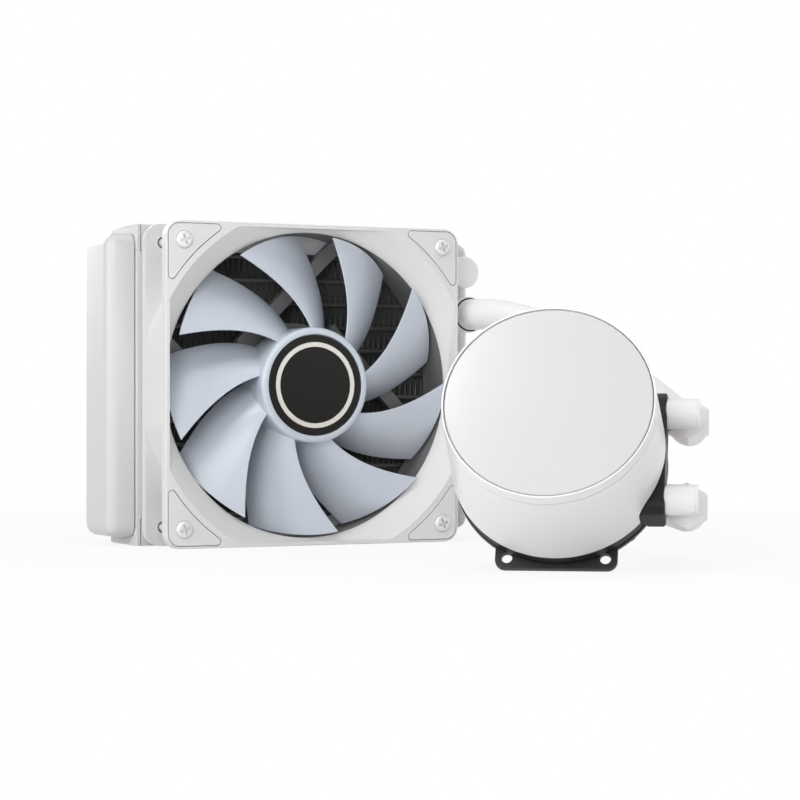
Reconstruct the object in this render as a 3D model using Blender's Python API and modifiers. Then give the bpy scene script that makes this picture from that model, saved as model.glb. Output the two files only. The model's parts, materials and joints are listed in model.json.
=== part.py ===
"""Closed liquid cooler for a computer's processor: radiator, 120 mm fan, two hoses and pump.

Metres. The origin is the middle of the radiator's underside. +Z is up, +X is to the right
as one faces the fan, and the fan, the hose ports and the pump are on the -Y side.
"""
import math

import bmesh
import bpy
from mathutils import Matrix, Vector

# Clearances
GAP = 0.0003
BEARING_GAP = 0.0001
TIP_GAP = 0.0012
OVERRUN = 0.002

# Fan frame
FAN_SIZE = 0.119
FAN_DEPTH = 0.025
FRAME_CORNER = 0.006
FLANGE = 0.004
DUCT_WALL = 0.0042
DUCT_EDGE = 0.0025
MOUTH_FLARE = 0.0062
MOUTH_EDGE = 0.0015
MOUTH_DEPTH = 0.0065
HOLE_INSET = 0.007
FAN_HOLE = 0.00225

# Fan stays and motor seat
STAY_WIDTH = 0.0052
STAY_DEPTH = 0.004
STAY_SEAT_OFFSET = 0.0013
STAY_START = math.radians(44)
STAY_COUNT = 4
SEAT_MARGIN = 0.003
SEAT_THICKNESS = 0.0035
BEARING_TUBE_WALL = 0.0014
BEARING_TUBE_AIR = 0.0013

# Corner pads and fan screws
PAD_THICKNESS = 0.001
PAD_PROUD = 0.0002
PAD_RIM = 0.0011
PAD_TIP = 0.0013
PAD_CORNER = 0.0042
PAD_INNER = 0.0018
PAD_HOLE = 0.0044
SCREW_RADIUS = 0.00165
SCREW_HEAD = 0.0035
SCREW_HEAD_HEIGHT = 0.0022
SCREW_TIP = 0.001
SCREW_CROWN = 0.0021
SCREW_CROSS_WIDTH = 0.0009
SCREW_CROSS_DEPTH = 0.0011
SCREW_CROSS_REACH = 0.0019

# Fan rotor
BLADE_COUNT = 9
BLADE_START = math.radians(1.14)
BLADE_CHORD = math.radians(31.5)
BLADE_SWEEP = math.radians(20)
BLADE_SWEEP_ROOT = math.radians(10)
BLADE_FRONT = 0.004
BLADE_STAY_AIR = 0.003
BLADE_CAMBER = 0.45
BLADE_THICKNESS = 0.0014
HUB_RADIUS = 0.0215
HUB_WALL = 0.002
HUB_FRONT = 0.0005
HUB_SEAT_AIR = 0.0015
HUB_LIP = 0.0026
HUB_RECESS = 0.0014
HUB_WEB = 0.002
HUB_EDGE = 0.0004
HUB_BOSS = 0.0045
HUB_BOSS_HEIGHT = 0.0028
CAP_THICKNESS = 0.001
HUB_RING_INSET = 0.0029
HUB_RING_WIDTH = 0.0018
HUB_RING_HEIGHT = 0.0006

# Fan motor
SHAFT_RADIUS = 0.0015
BEARING_WALL = 0.0019
YOKE_WALL = 0.001
MAGNET_WALL = 0.002
AIR_GAP = 0.0007
STATOR_HEIGHT = 0.008
STATOR_TEETH = 6
STATOR_TOOTH = 0.004
STATOR_SHOE = 0.0072
STATOR_SHOE_DEPTH = 0.0012
STATOR_CORE = 0.0028
BOARD_THICKNESS = 0.0016

# Radiator
RADIATOR_DEPTH = 0.027
HEADER_OVERHANG = 0.0025
HEADER_THICKNESS = 0.002
HEADER_EDGE = 0.0009
CHANNEL_HEIGHT = 0.0096
CHANNEL_WALL = 0.0012
TUBE_COUNT = 12
TUBE_THICKNESS = 0.0018
TUBE_EDGE = 0.0007
TUBE_SETBACK = 0.001
FIN_PITCH = 0.0062
FIN_THICKNESS = 0.0003
FIN_SETBACK = 0.0014
REAR_HOLE = 0.00175

# Tanks
TANK_INSET = 0.0033
TANK_LEFT_WIDTH = 0.0105
TANK_RIGHT_WIDTH = 0.0157
TANK_EDGE = 0.0045
TANK_WALL = 0.0018
PORT_SIDE_INSET = 0.008
PORT_END_INSET = 0.0286
FILL_END_INSET = 0.012

# Fill boss, hose barbs and collars on the right tank
FILL_REACH = 0.011
FILL_CAP = 0.00615
FILL_CAP_THICKNESS = 0.003
FILL_CAP_EDGE = 0.0005
FILL_BOSS = 0.0052
FILL_STEM = 0.0027
BARB_RADIUS = 0.0046
BARB_BORE = 0.0032
COLLAR_RADIUS = 0.00695
COLLAR_REACH = 0.015
COLLAR_GROOVE = 0.0026
HOSE_RADIUS = 0.006

# Pump: where it stands and how it leans
PUMP_X = -0.00544
PUMP_Y = -0.2206
PUMP_LEAN = math.radians(27.74)
PUMP_TURN = math.radians(-35.49)

# Pump cover and face
COVER_AIR = 0.00245
COVER_TAPER = 0.00145
COVER_HEIGHT = 0.0403
COVER_WALL = 0.002
COVER_LIP = 0.001
COVER_GROOVE = 0.0045
COVER_LEDGE = 0.0025
FACE_THICKNESS = 0.0018
FACE_SINK = 0.00015
NOTCH_MARGIN = 0.0008
NOTCH_CORNER = 0.0045

# Pump housing
BASE_INSET = 0.00015
BASE_THICKNESS = 0.0044
COVER_SEAT = 0.0005
HOUSING_RADIUS = 0.030
HOUSING_WALL = 0.0025
CHAMBER_DEPTH = 0.0112
CHAMBER_ROOF = 0.002
CUP_RADIUS = 0.007
CUP_WALL = 0.0015
MOTOR_POCKET = 0.008
BLOCK_PROUD = 0.0004
BLOCK_HALF = 0.0213
BLOCK_HEAD = 0.0051
BLOCK_BACK_INSET = 0.0007
BLOCK_EDGE = 0.0008
PORT_SPACING = 0.0151
PORT_BACK_INSET = 0.0073
PORT_RECESS = 0.0054
PORT_RECESS_DEPTH = 0.0006
PORT_BORE = 0.004
PORT_BORE_DEPTH = 0.0072
PORT_CHANNEL = 0.0022

# Pump inner pieces
IMPELLER_AIR = 0.0065
IMPELLER_DISC = 0.0014
IMPELLER_VANE = 0.0032
VANE_COUNT = 6
VANE_WIDTH = 0.0012
VANE_INSET = 0.0017
PUMP_SHAFT = 0.001
CHAMBER_PLATE = 0.0014
CHAMBER_INLET = 0.003
SEAL_LAND = 0.0036
SEAL_SECTION = 0.0006
PUMP_BOARD_INSET = 0.001
PUMP_CORE = 0.0048
PUMP_TOOTH = 0.0056
PUMP_SHOE = 0.0096
PUMP_SHOE_DEPTH = 0.0028

# Cold plate, bracket and their screws
BRACKET_THICKNESS = 0.0018
COLD_RIM = 0.0021
COLD_STEP = 0.0025
COLD_STEP_MARGIN = 0.0026
COLD_STEP_CORNER = 0.004
EAR_HALF = 0.0193
EAR_LENGTH = 0.00143
EAR_CORNER = 0.0033
EAR_HOLE = 0.00175
EAR_HOLE_SPACING = 0.0155
EAR_HOLE_INSET = 0.0037
PLATE_SCREW_INSET = 0.0029
PLATE_SCREW_LAND = 0.0022
PLATE_SCREW_HEAD = 0.0028
PLATE_SCREW_HEIGHT = 0.0012
PLATE_SCREW_EDGE = 0.0005
PLATE_SCREW_RADIUS = 0.001
PLATE_SCREW_LENGTH = 0.005

# Elbows
ELBOW_STUB = 0.00465
ELBOW_STAND_OFF = 0.0056
ELBOW_HALF = 0.0040
ELBOW_SWIVEL = math.radians(14)
SOCKET_FLATS = 0.0126
SOCKET_START = 0.0075
SOCKET_END = 0.0132
SOCKET_CHAMFER = 0.0016

# Hand-chosen points of each hose between its collar and its elbow
UPPER_ROUTE = ((0.0708, -0.0592, 0.0850), (0.0727, -0.0891, 0.0787), (0.0750, -0.1178, 0.0689),
               (0.0757, -0.1460, 0.0573), (0.0713, -0.1744, 0.0479))
LOWER_ROUTE = ((0.0704, -0.0609, 0.0309), (0.0713, -0.0922, 0.0282), (0.0718, -0.1232, 0.0242),
               (0.0702, -0.1547, 0.0200), (0.0637, -0.1852, 0.0176))
HOSE_STEP = 0.012
HOSE_LEAD = 0.003

# Values that follow from the ones above
RADIATOR_HEIGHT = FAN_SIZE
CENTRE_Z = RADIATOR_HEIGHT / 2
FAN_FRONT_Y = -RADIATOR_DEPTH / 2 - GAP - FAN_DEPTH
THROAT = FAN_SIZE / 2 - DUCT_EDGE
MOUTH_RADIUS = FAN_SIZE / 2 + MOUTH_FLARE
ROTOR_RADIUS = THROAT - TIP_GAP
HOLE_REACH = FAN_SIZE / 2 - HOLE_INSET
HEADER_REACH = FAN_SIZE / 2 + HEADER_OVERHANG
CORE_REACH = HEADER_REACH - HEADER_THICKNESS
TANK_HEIGHT = RADIATOR_HEIGHT - 2 * TANK_INSET
PORT_X = HEADER_REACH + GAP + TANK_RIGHT_WIDTH - PORT_SIDE_INSET
PORT_Z = TANK_HEIGHT / 2 - PORT_END_INSET
FILL_Z = TANK_HEIGHT / 2 - FILL_END_INSET
TUBE_ROWS = RADIATOR_HEIGHT - 2 * (CHANNEL_HEIGHT + GAP) - TUBE_THICKNESS
TUBE_PITCH = TUBE_ROWS / (TUBE_COUNT - 1)
BEARING_OUTER = SHAFT_RADIUS + BEARING_GAP + BEARING_WALL
TUBE_BORE = BEARING_OUTER + GAP
TUBE_OUTER = TUBE_BORE + BEARING_TUBE_WALL
HUB_INNER = HUB_RADIUS - HUB_WALL
HUB_FLOOR = HUB_FRONT + HUB_RECESS + HUB_WEB
HUB_BACK = FAN_DEPTH - SEAT_THICKNESS - HUB_SEAT_AIR
HUB_RING_OUTER = HUB_RADIUS - HUB_LIP - HUB_RING_INSET
SEAT_RADIUS = HUB_RADIUS + SEAT_MARGIN
STAY_OFFSET = SEAT_RADIUS + STAY_SEAT_OFFSET
TUBE_FRONT = HUB_FLOOR + HUB_BOSS_HEIGHT + BEARING_TUBE_AIR
BLADE_DEPTH = FAN_DEPTH - STAY_DEPTH - BLADE_STAY_AIR - BLADE_FRONT
COVER_BACK_RADIUS = HOUSING_RADIUS + COVER_AIR + COVER_WALL
COVER_FRONT_RADIUS = COVER_BACK_RADIUS - COVER_TAPER
BASE_RADIUS = COVER_BACK_RADIUS - BASE_INSET
PLATE_SCREW_CIRCLE = BASE_RADIUS - PLATE_SCREW_INSET
COLD_RADIUS = PLATE_SCREW_CIRCLE - PLATE_SCREW_LAND
SEAL_RADIUS = COLD_RADIUS - COLD_RIM
CHAMBER_RADIUS = SEAL_RADIUS - SEAL_LAND
IMPELLER_RADIUS = CHAMBER_RADIUS - IMPELLER_AIR
BLOCK_FACE = BASE_RADIUS + BLOCK_PROUD
ELBOW_CENTRE = BLOCK_FACE + ELBOW_STAND_OFF
ELBOW_REACH = ELBOW_CENTRE + ELBOW_HALF
EAR_REACH = BASE_RADIUS + EAR_LENGTH
HOUSING_BACK = COVER_HEIGHT + COVER_SEAT + BASE_THICKNESS
PORT_DEPTH = HOUSING_BACK - PORT_BACK_INSET
BLOCK_FRONT = PORT_DEPTH - BLOCK_HEAD
CHAMBER_FLOOR = HOUSING_BACK - CHAMBER_DEPTH
HOUSING_FRONT = CHAMBER_FLOOR - CHAMBER_ROOF - MOTOR_POCKET
CUP_FLOOR = HOUSING_FRONT + CHAMBER_ROOF
BRACKET_FRONT = HOUSING_BACK + GAP
BRACKET_BACK = BRACKET_FRONT + BRACKET_THICKNESS
PUMP_Z = EAR_REACH * math.cos(PUMP_LEAN) + BRACKET_BACK * math.sin(PUMP_LEAN)
CHAMBER_PLATE_BACK = HOUSING_BACK - GAP
CHAMBER_PLATE_FRONT = CHAMBER_PLATE_BACK - CHAMBER_PLATE

# Finishes: colour, roughness, metallic
WHITE_PLASTIC = ((0.76, 0.76, 0.75), 0.45, 0.0)
WHITE_PAINT = ((0.78, 0.78, 0.77), 0.4, 0.0)
BLADE_PLASTIC = ((0.60, 0.65, 0.74), 0.4, 0.0)
FACE_GLOSS = ((0.86, 0.86, 0.86), 0.2, 0.0)
BLACK_PLASTIC = ((0.022, 0.021, 0.023), 0.45, 0.0)
BLACK_STEEL = ((0.03, 0.029, 0.03), 0.4, 0.6)
CREAM = ((0.80, 0.77, 0.72), 0.5, 0.0)
SCREW_STEEL = ((0.70, 0.70, 0.70), 0.35, 0.8)
FIN_METAL = ((0.03, 0.03, 0.032), 0.5, 0.5)
BRIGHT_STEEL = ((0.60, 0.60, 0.61), 0.25, 1.0)
IRON = ((0.25, 0.25, 0.26), 0.5, 0.9)
BRONZE = ((0.50, 0.33, 0.17), 0.4, 1.0)
COPPER = ((0.72, 0.34, 0.20), 0.3, 1.0)
BOARD_GREEN = ((0.03, 0.16, 0.08), 0.5, 0.0)
SEAL_RUBBER = ((0.02, 0.02, 0.02), 0.8, 0.0)

for old in list(bpy.data.objects):
    bpy.data.objects.remove(old, do_unlink=True)

MODEL = bpy.data.collections.new("liquid_cooler")
CUTTERS = bpy.data.collections.new("cutters")
bpy.context.scene.collection.children.link(MODEL)
bpy.context.scene.collection.children.link(CUTTERS)


def local_frame(name, place, turn=(0, 0, 0), parent=None):
    """An empty that holds a group of pieces at its own place and angle."""
    empty = bpy.data.objects.new(name, None)
    empty.location = place
    empty.rotation_euler = turn
    empty.parent = parent
    MODEL.objects.link(empty)
    return empty


def new_object(name, data, frame, finish):
    """Link an object into the model, or among the cutters where it has no finish."""
    thing = bpy.data.objects.new(name, data)
    thing.parent = frame
    if finish is None:
        CUTTERS.objects.link(thing)
        thing.hide_render = True
        thing.display_type = "WIRE"
        return thing
    MODEL.objects.link(thing)
    colour, roughness, metallic = finish
    material = bpy.data.materials.new(name)
    material.use_nodes = True
    shader = material.node_tree.nodes["Principled BSDF"]
    shader.inputs["Base Color"].default_value = (*colour, 1)
    shader.inputs["Roughness"].default_value = roughness
    shader.inputs["Metallic"].default_value = metallic
    material.diffuse_color = (*colour, 1)
    thing.data.materials.append(material)
    return thing


def from_bmesh(name, bm, frame=None, finish=None):
    mesh = bpy.data.meshes.new(name)
    bm.to_mesh(mesh)
    bm.free()
    return new_object(name, mesh, frame, finish)


def add_box(bm, low, high, turn=None):
    """Add a box between two corners, turned about Z where an angle is given."""
    size = Vector(high) - Vector(low)
    middle = (Vector(high) + Vector(low)) / 2
    placing = Matrix.Translation(middle) @ Matrix.Diagonal((*size, 1))
    if turn is not None:
        placing = Matrix.Rotation(turn, 4, "Z") @ placing
    return bmesh.ops.create_cube(bm, size=1, matrix=placing)["verts"]


def box(name, low, high, frame=None, finish=None):
    bm = bmesh.new()
    add_box(bm, low, high)
    return from_bmesh(name, bm, frame, finish)


def add_rod(bm, radius, start, end, segments=24, end_radius=None):
    """Add a round bar, or a taper, between two points."""
    way = Vector(end) - Vector(start)
    turn = way.to_track_quat("Z", "Y").to_matrix().to_4x4()
    placing = Matrix.Translation((Vector(start) + Vector(end)) / 2) @ turn
    far = radius if end_radius is None else end_radius
    bmesh.ops.create_cone(bm, cap_ends=True, segments=segments, radius1=radius, radius2=far,
                          depth=way.length, matrix=placing)


def rods(name, radius, spans, frame=None, finish=None, segments=16):
    """Round bars of one radius, one for each pair of end points."""
    bm = bmesh.new()
    for start, end in spans:
        add_rod(bm, radius, start, end, segments)
    return from_bmesh(name, bm, frame, finish)


def turned(name, profile, frame=None, finish=None, segments=24):
    """Spin a profile of (radius, height) points about Z. It runs down its outer side."""
    on_axis = profile[0][0] == 0 and profile[-1][0] == 0
    count = len(profile)
    edges = [(i, i + 1) for i in range(count - 1)]
    if not on_axis:
        edges.append((count - 1, 0))
    mesh = bpy.data.meshes.new(name)
    mesh.from_pydata([(radius, 0, height) for radius, height in profile], edges, [])
    thing = new_object(name, mesh, frame, finish)
    spin = thing.modifiers.new("spin", "SCREW")
    spin.steps = segments
    spin.render_steps = segments
    spin.use_merge_vertices = True
    spin.merge_threshold = 0.00001
    spin.use_smooth_shade = True
    return thing


def ring(name, inner, outer, low, high, frame=None, finish=None, segments=24):
    profile = ((inner, high), (outer, high), (outer, low), (inner, low))
    return turned(name, profile, frame, finish, segments)


def plates(name, outlines, low, high, frame=None, finish=None):
    """Flat outlines of (x, y) points, given their thickness between two heights."""
    curve = bpy.data.curves.new(name, "CURVE")
    curve.dimensions = "2D"
    curve.fill_mode = "BOTH"
    curve.extrude = (high - low) / 2
    for outline in outlines:
        spline = curve.splines.new("POLY")
        spline.points.add(len(outline) - 1)
        for point, (x, y) in zip(spline.points, outline):
            point.co = (x, y, 0, 1)
        spline.use_cyclic_u = True
    return curve_to_mesh(name, curve, frame, finish, Matrix.Translation((0, 0, (low + high) / 2)))


def plate(name, outline, low, high, frame=None, finish=None):
    return plates(name, [outline], low, high, frame, finish)


def curve_to_mesh(name, curve, frame, finish, placing=None):
    """Make a curve a welded mesh, so that it can be cut and joined."""
    guide = bpy.data.objects.new(name + "_curve", curve)
    CUTTERS.objects.link(guide)
    bpy.context.view_layer.update()
    evaluated = guide.evaluated_get(bpy.context.evaluated_depsgraph_get())
    mesh = bpy.data.meshes.new_from_object(evaluated)
    bpy.data.objects.remove(guide, do_unlink=True)
    bm = bmesh.new()
    bm.from_mesh(mesh)
    bmesh.ops.remove_doubles(bm, verts=bm.verts, dist=0.000001)
    bmesh.ops.recalc_face_normals(bm, faces=bm.faces)
    if placing is not None:
        bmesh.ops.transform(bm, matrix=placing, verts=bm.verts)
    bpy.data.meshes.remove(mesh)
    return from_bmesh(name, bm, frame, finish)


def combine(target, operation, tools):
    for tool in tools:
        step = target.modifiers.new(operation.lower(), "BOOLEAN")
        step.operation = operation
        step.solver = "EXACT"
        step.object = tool


def cut(target, *tools):
    combine(target, "DIFFERENCE", tools)


def join(target, *tools):
    combine(target, "UNION", tools)


def arc(centre, radius, start, end, steps):
    """Points along an arc, both ends included, angles in radians."""
    angles = (start + (end - start) * i / steps for i in range(steps + 1))
    return [(centre[0] + radius * math.cos(a), centre[1] + radius * math.sin(a)) for a in angles]


def circle(radius, steps=16):
    return arc((0, 0), radius, 0, math.tau * (steps - 1) / steps, steps - 1)


def rounded_box_outline(half_x, half_y, corner, steps=3):
    points = []
    for quarter in range(4):
        sign_x = (1, -1, -1, 1)[quarter]
        sign_y = (1, 1, -1, -1)[quarter]
        centre = (sign_x * (half_x - corner), sign_y * (half_y - corner))
        start = quarter * math.pi / 2
        points += arc(centre, corner, start, start + math.pi / 2, steps)
    return points


def quarter_turns(point):
    """A point (x, y) and its mirror images in all four corners, each with its sign."""
    return [(sx * point[0], sy * point[1], sx, sy) for sx in (-1, 1) for sy in (-1, 1)]


CORNER_NAMES = {(-1, 1): "top_left", (1, 1): "top_right",
                (-1, -1): "bottom_left", (1, -1): "bottom_right"}

# Local frames. In the fan's and the pump's own frame +Z points at the viewer.
fan_axis = local_frame("fan_axis", (0, FAN_FRONT_Y, CENTRE_Z), (math.pi / 2, 0, 0))
pump_axis = local_frame("pump_axis", (PUMP_X, PUMP_Y, PUMP_Z),
                        (math.pi / 2 - PUMP_LEAN, 0, PUMP_TURN))
elbow_axes = {}
for side, sign in (("upper", 1), ("lower", -1)):
    elbow_axes[side] = local_frame("elbow_axis_" + side,
                                   (ELBOW_CENTRE, sign * PORT_SPACING, -PORT_DEPTH),
                                   (ELBOW_SWIVEL, 0, 0), pump_axis)


def pad_outline(grow=0.0):
    """Corner pad in the top right corner: straight outer edges, hollow inner edge."""
    edge = FAN_SIZE / 2 - PAD_RIM + grow
    inner = MOUTH_RADIUS + PAD_INNER - grow
    tip = PAD_TIP + grow
    corner = PAD_CORNER + grow
    tip_x = edge - tip
    tip_y = math.sqrt((inner + tip) ** 2 - tip_x ** 2)
    towards_middle = math.atan2(-tip_y, -tip_x)
    lower = arc((tip_x, tip_y), tip, towards_middle, 0, 3)
    outer = arc((edge - corner, edge - corner), corner, 0, math.pi / 2, 3)
    upper = [(y, x) for x, y in reversed(lower)]
    start = math.atan2(tip_x, tip_y)
    end = math.atan2(tip_y, tip_x)
    hollow = arc((0, 0), inner, start, end, 6)[1:-1]
    return lower + outer + upper + hollow


def mirrored_outline(points, sign_x, sign_y):
    flipped = [(sign_x * x, sign_y * y) for x, y in points]
    return flipped if sign_x * sign_y > 0 else flipped[::-1]


def mouth_profile():
    """The air path: a bell mouth that narrows to the duct, then runs straight out."""
    steps = 3
    profile = [(0, OVERRUN), (MOUTH_RADIUS, OVERRUN)]
    for i in range(steps + 1):
        angle = math.pi / 2 * (1 - i / steps)
        radius = THROAT + (MOUTH_RADIUS - THROAT) * (1 - math.cos(angle))
        profile.append((radius, -MOUTH_DEPTH * (1 - math.sin(angle))))
    return profile + [(THROAT, -FAN_DEPTH - OVERRUN), (0, -FAN_DEPTH - OVERRUN)]


def build_fan_frame():
    half = FAN_SIZE / 2
    outline = rounded_box_outline(half, half, FRAME_CORNER)
    frame = plate("fan_frame", outline, -FAN_DEPTH, 0, fan_axis, WHITE_PLASTIC)
    duct_outer = THROAT + DUCT_WALL
    pocket = ring("frame_pocket", duct_outer, FAN_SIZE, -FAN_DEPTH + FLANGE, -FLANGE, fan_axis,
                  segments=48)
    mouth = turned("frame_mouth", mouth_profile(), fan_axis, segments=48)
    clip = half - MOUTH_EDGE
    mouth_clip = box("frame_mouth_clip", (-clip, -clip, -FAN_DEPTH * 2), (clip, clip, FAN_DEPTH),
                     fan_axis)
    combine(mouth, "INTERSECT", [mouth_clip])
    cut(frame, pocket, mouth)

    seat_back = -FAN_DEPTH
    seat = rods("frame_seat", SEAT_RADIUS, [((0, 0, seat_back), (0, 0, seat_back + SEAT_THICKNESS))],
                fan_axis, segments=32)
    tube = rods("frame_bearing_tube", TUBE_OUTER, [((0, 0, seat_back + OVERRUN), (0, 0, -TUBE_FRONT))],
                fan_axis)
    bm = bmesh.new()
    edge = STAY_OFFSET + STAY_WIDTH / 2
    reach = math.sqrt((duct_outer - DUCT_WALL / 4) ** 2 - edge ** 2)
    for i in range(STAY_COUNT):
        low = (-STAY_WIDTH, STAY_OFFSET - STAY_WIDTH / 2, seat_back)
        high = (reach, edge, seat_back + STAY_DEPTH)
        add_box(bm, low, high, STAY_START + i * math.tau / STAY_COUNT)
    stays = from_bmesh("frame_stays", bm, fan_axis)
    bore = rods("frame_bearing_bore", TUBE_BORE,
                [((0, 0, seat_back + SEAT_THICKNESS), (0, 0, -TUBE_FRONT + OVERRUN))], fan_axis)
    join(frame, stays, seat, tube)

    holes = [((x, y, -FAN_DEPTH - OVERRUN), (x, y, OVERRUN))
             for x, y, _, _ in quarter_turns((HOLE_REACH, HOLE_REACH))]
    hole_cutter = rods("frame_holes", FAN_HOLE, holes, fan_axis, segments=10)
    cut(frame, bore, hole_cutter)
    pad_pockets = [mirrored_outline(pad_outline(GAP), sign_x, sign_y)
                   for _, _, sign_x, sign_y in quarter_turns((1, 1))]
    pocket_floor = -PAD_THICKNESS + PAD_PROUD - GAP
    cut(frame, plates("frame_pad_pockets", pad_pockets, pocket_floor, OVERRUN, fan_axis))


def screw_cross(name, top, frame):
    """The two slots of a cross recess in a fan screw's head."""
    half = SCREW_CROSS_WIDTH / 2
    reach = SCREW_CROSS_REACH
    floor = top - SCREW_CROSS_DEPTH
    along = box(name + "_along", (-reach, -half, floor), (reach, half, top + OVERRUN), frame)
    across = box(name + "_across", (-half, -reach, floor), (half, reach, top + OVERRUN), frame)
    return along, across


def build_corner(sign_x, sign_y):
    """One corner pad and the long screw that passes through it to the radiator."""
    corner = CORNER_NAMES[(sign_x, sign_y)]
    x = sign_x * HOLE_REACH
    y = sign_y * HOLE_REACH
    pad_back = -PAD_THICKNESS + PAD_PROUD
    outline = mirrored_outline(pad_outline(), sign_x, sign_y)
    pad = plate("corner_pad_" + corner, outline, pad_back, PAD_PROUD, fan_axis, WHITE_PLASTIC)
    hole = rods("pad_hole_" + corner, PAD_HOLE, [((x, y, -PAD_THICKNESS * 2), (x, y, OVERRUN))],
                fan_axis)
    cut(pad, hole)

    head_back = pad_back
    top = head_back + SCREW_HEAD_HEIGHT
    tip = -FAN_DEPTH - GAP - CHANNEL_WALL - SCREW_TIP
    crown_drop = (SCREW_HEAD - SCREW_CROWN) / 8
    profile = ((0, top), (SCREW_CROWN, top - crown_drop),
               ((SCREW_CROWN + 3 * SCREW_HEAD) / 4, (top + head_back) / 2 + crown_drop),
               (SCREW_HEAD, head_back + GAP),
               (SCREW_HEAD, head_back), (SCREW_RADIUS, head_back),
               (SCREW_RADIUS, tip + SCREW_RADIUS / 2), (SCREW_RADIUS / 2, tip), (0, tip))
    holder = local_frame("fan_screw_axis_" + corner, (x, y, 0), parent=fan_axis)
    screw = turned("fan_screw_" + corner, profile, holder, SCREW_STEEL, segments=10)
    cut(screw, *screw_cross("fan_screw_cross_" + corner, top, holder))


def blade_sheet(bm, tip_angle):
    """One blade as a bent and swept sheet, from inside the hub wall to the tip."""
    steps_along = 5
    steps_across = 4
    root = HUB_RADIUS - HUB_WALL / 2
    span = ROTOR_RADIUS - root
    grid = bmesh.ops.create_grid(bm, x_segments=steps_across, y_segments=steps_along, size=0.5)
    for vert in grid["verts"]:
        chord = vert.co.x + 0.5
        radius = root + span * (vert.co.y + 0.5)
        inward = (ROTOR_RADIUS - radius) / (ROTOR_RADIUS - HUB_RADIUS)
        sweep = BLADE_SWEEP * inward + BLADE_SWEEP_ROOT * inward ** 2
        angle = tip_angle - sweep - BLADE_CHORD * chord
        drop = (1 - BLADE_CAMBER) * chord + BLADE_CAMBER * chord ** 2
        depth = BLADE_FRONT + BLADE_DEPTH * drop
        vert.co = (radius * math.cos(angle), radius * math.sin(angle), -depth)


def build_fan_rotor():
    """Hub and blades in one moulding."""
    lip = HUB_RADIUS - HUB_LIP
    recess = HUB_FRONT + HUB_RECESS
    shaft_hole = SHAFT_RADIUS + GAP
    shoulder = HUB_RADIUS - HUB_LIP / 2
    profile = ((0, -recess), (lip, -recess), (lip, -HUB_FRONT - HUB_EDGE),
               (lip + HUB_EDGE, -HUB_FRONT), (shoulder, -HUB_FRONT),
               (HUB_RADIUS - HUB_EDGE, -HUB_FRONT - HUB_EDGE),
               (HUB_RADIUS, -HUB_FRONT - HUB_LIP / 2), (HUB_RADIUS, -HUB_BACK),
               (HUB_INNER, -HUB_BACK), (HUB_INNER, -HUB_FLOOR), (HUB_BOSS, -HUB_FLOOR),
               (HUB_BOSS, -HUB_FLOOR - HUB_BOSS_HEIGHT), (shaft_hole, -HUB_FLOOR - HUB_BOSS_HEIGHT),
               (shaft_hole, -recess - HUB_WEB / 2), (0, -recess - HUB_WEB / 2))
    rotor = turned("fan_rotor", profile, fan_axis, BLADE_PLASTIC, segments=32)
    bm = bmesh.new()
    for i in range(BLADE_COUNT):
        blade_sheet(bm, BLADE_START + i * math.tau / BLADE_COUNT)
    bmesh.ops.recalc_face_normals(bm, faces=bm.faces)
    blades = from_bmesh("rotor_blades", bm, fan_axis)
    wall = blades.modifiers.new("wall", "SOLIDIFY")
    wall.thickness = BLADE_THICKNESS
    wall.offset = 0
    join(rotor, blades)


def build_hub_face():
    """Black disc in the hub's recess, with a pale ring set into a groove."""
    back = -HUB_FRONT - HUB_RECESS + GAP
    front = back + CAP_THICKNESS
    radius = HUB_RADIUS - HUB_LIP - GAP
    cap = turned("hub_cap", ((0, front), (radius - GAP, front), (radius, front - GAP),
                             (radius, back), (0, back)), fan_axis, BLACK_PLASTIC)
    ring_inner = HUB_RING_OUTER - HUB_RING_WIDTH
    floor = front - HUB_RING_HEIGHT
    groove = ring("hub_ring_groove", ring_inner - GAP / 2, HUB_RING_OUTER + GAP / 2, floor,
                  front + OVERRUN, fan_axis)
    cut(cap, groove)
    ring("hub_ring", ring_inner, HUB_RING_OUTER, floor + GAP / 2, front, fan_axis, CREAM)


def star_outline(core, outer, tooth, shoe, shoe_depth):
    """Outline of a wound core: straight teeth that end in wider shoes."""
    reach = math.sqrt(outer ** 2 - (shoe / 2) ** 2)
    points = []
    for i in range(STATOR_TEETH):
        angle = i * math.tau / STATOR_TEETH
        along = Vector((math.cos(angle), math.sin(angle)))
        across = Vector((-along.y, along.x))
        for radius, side in ((core, -tooth), (reach - shoe_depth, -tooth),
                             (reach, -shoe), (reach, shoe),
                             (reach - shoe_depth, tooth), (core, tooth)):
            points.append(tuple(along * radius + across * side / 2))
    return points


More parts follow.
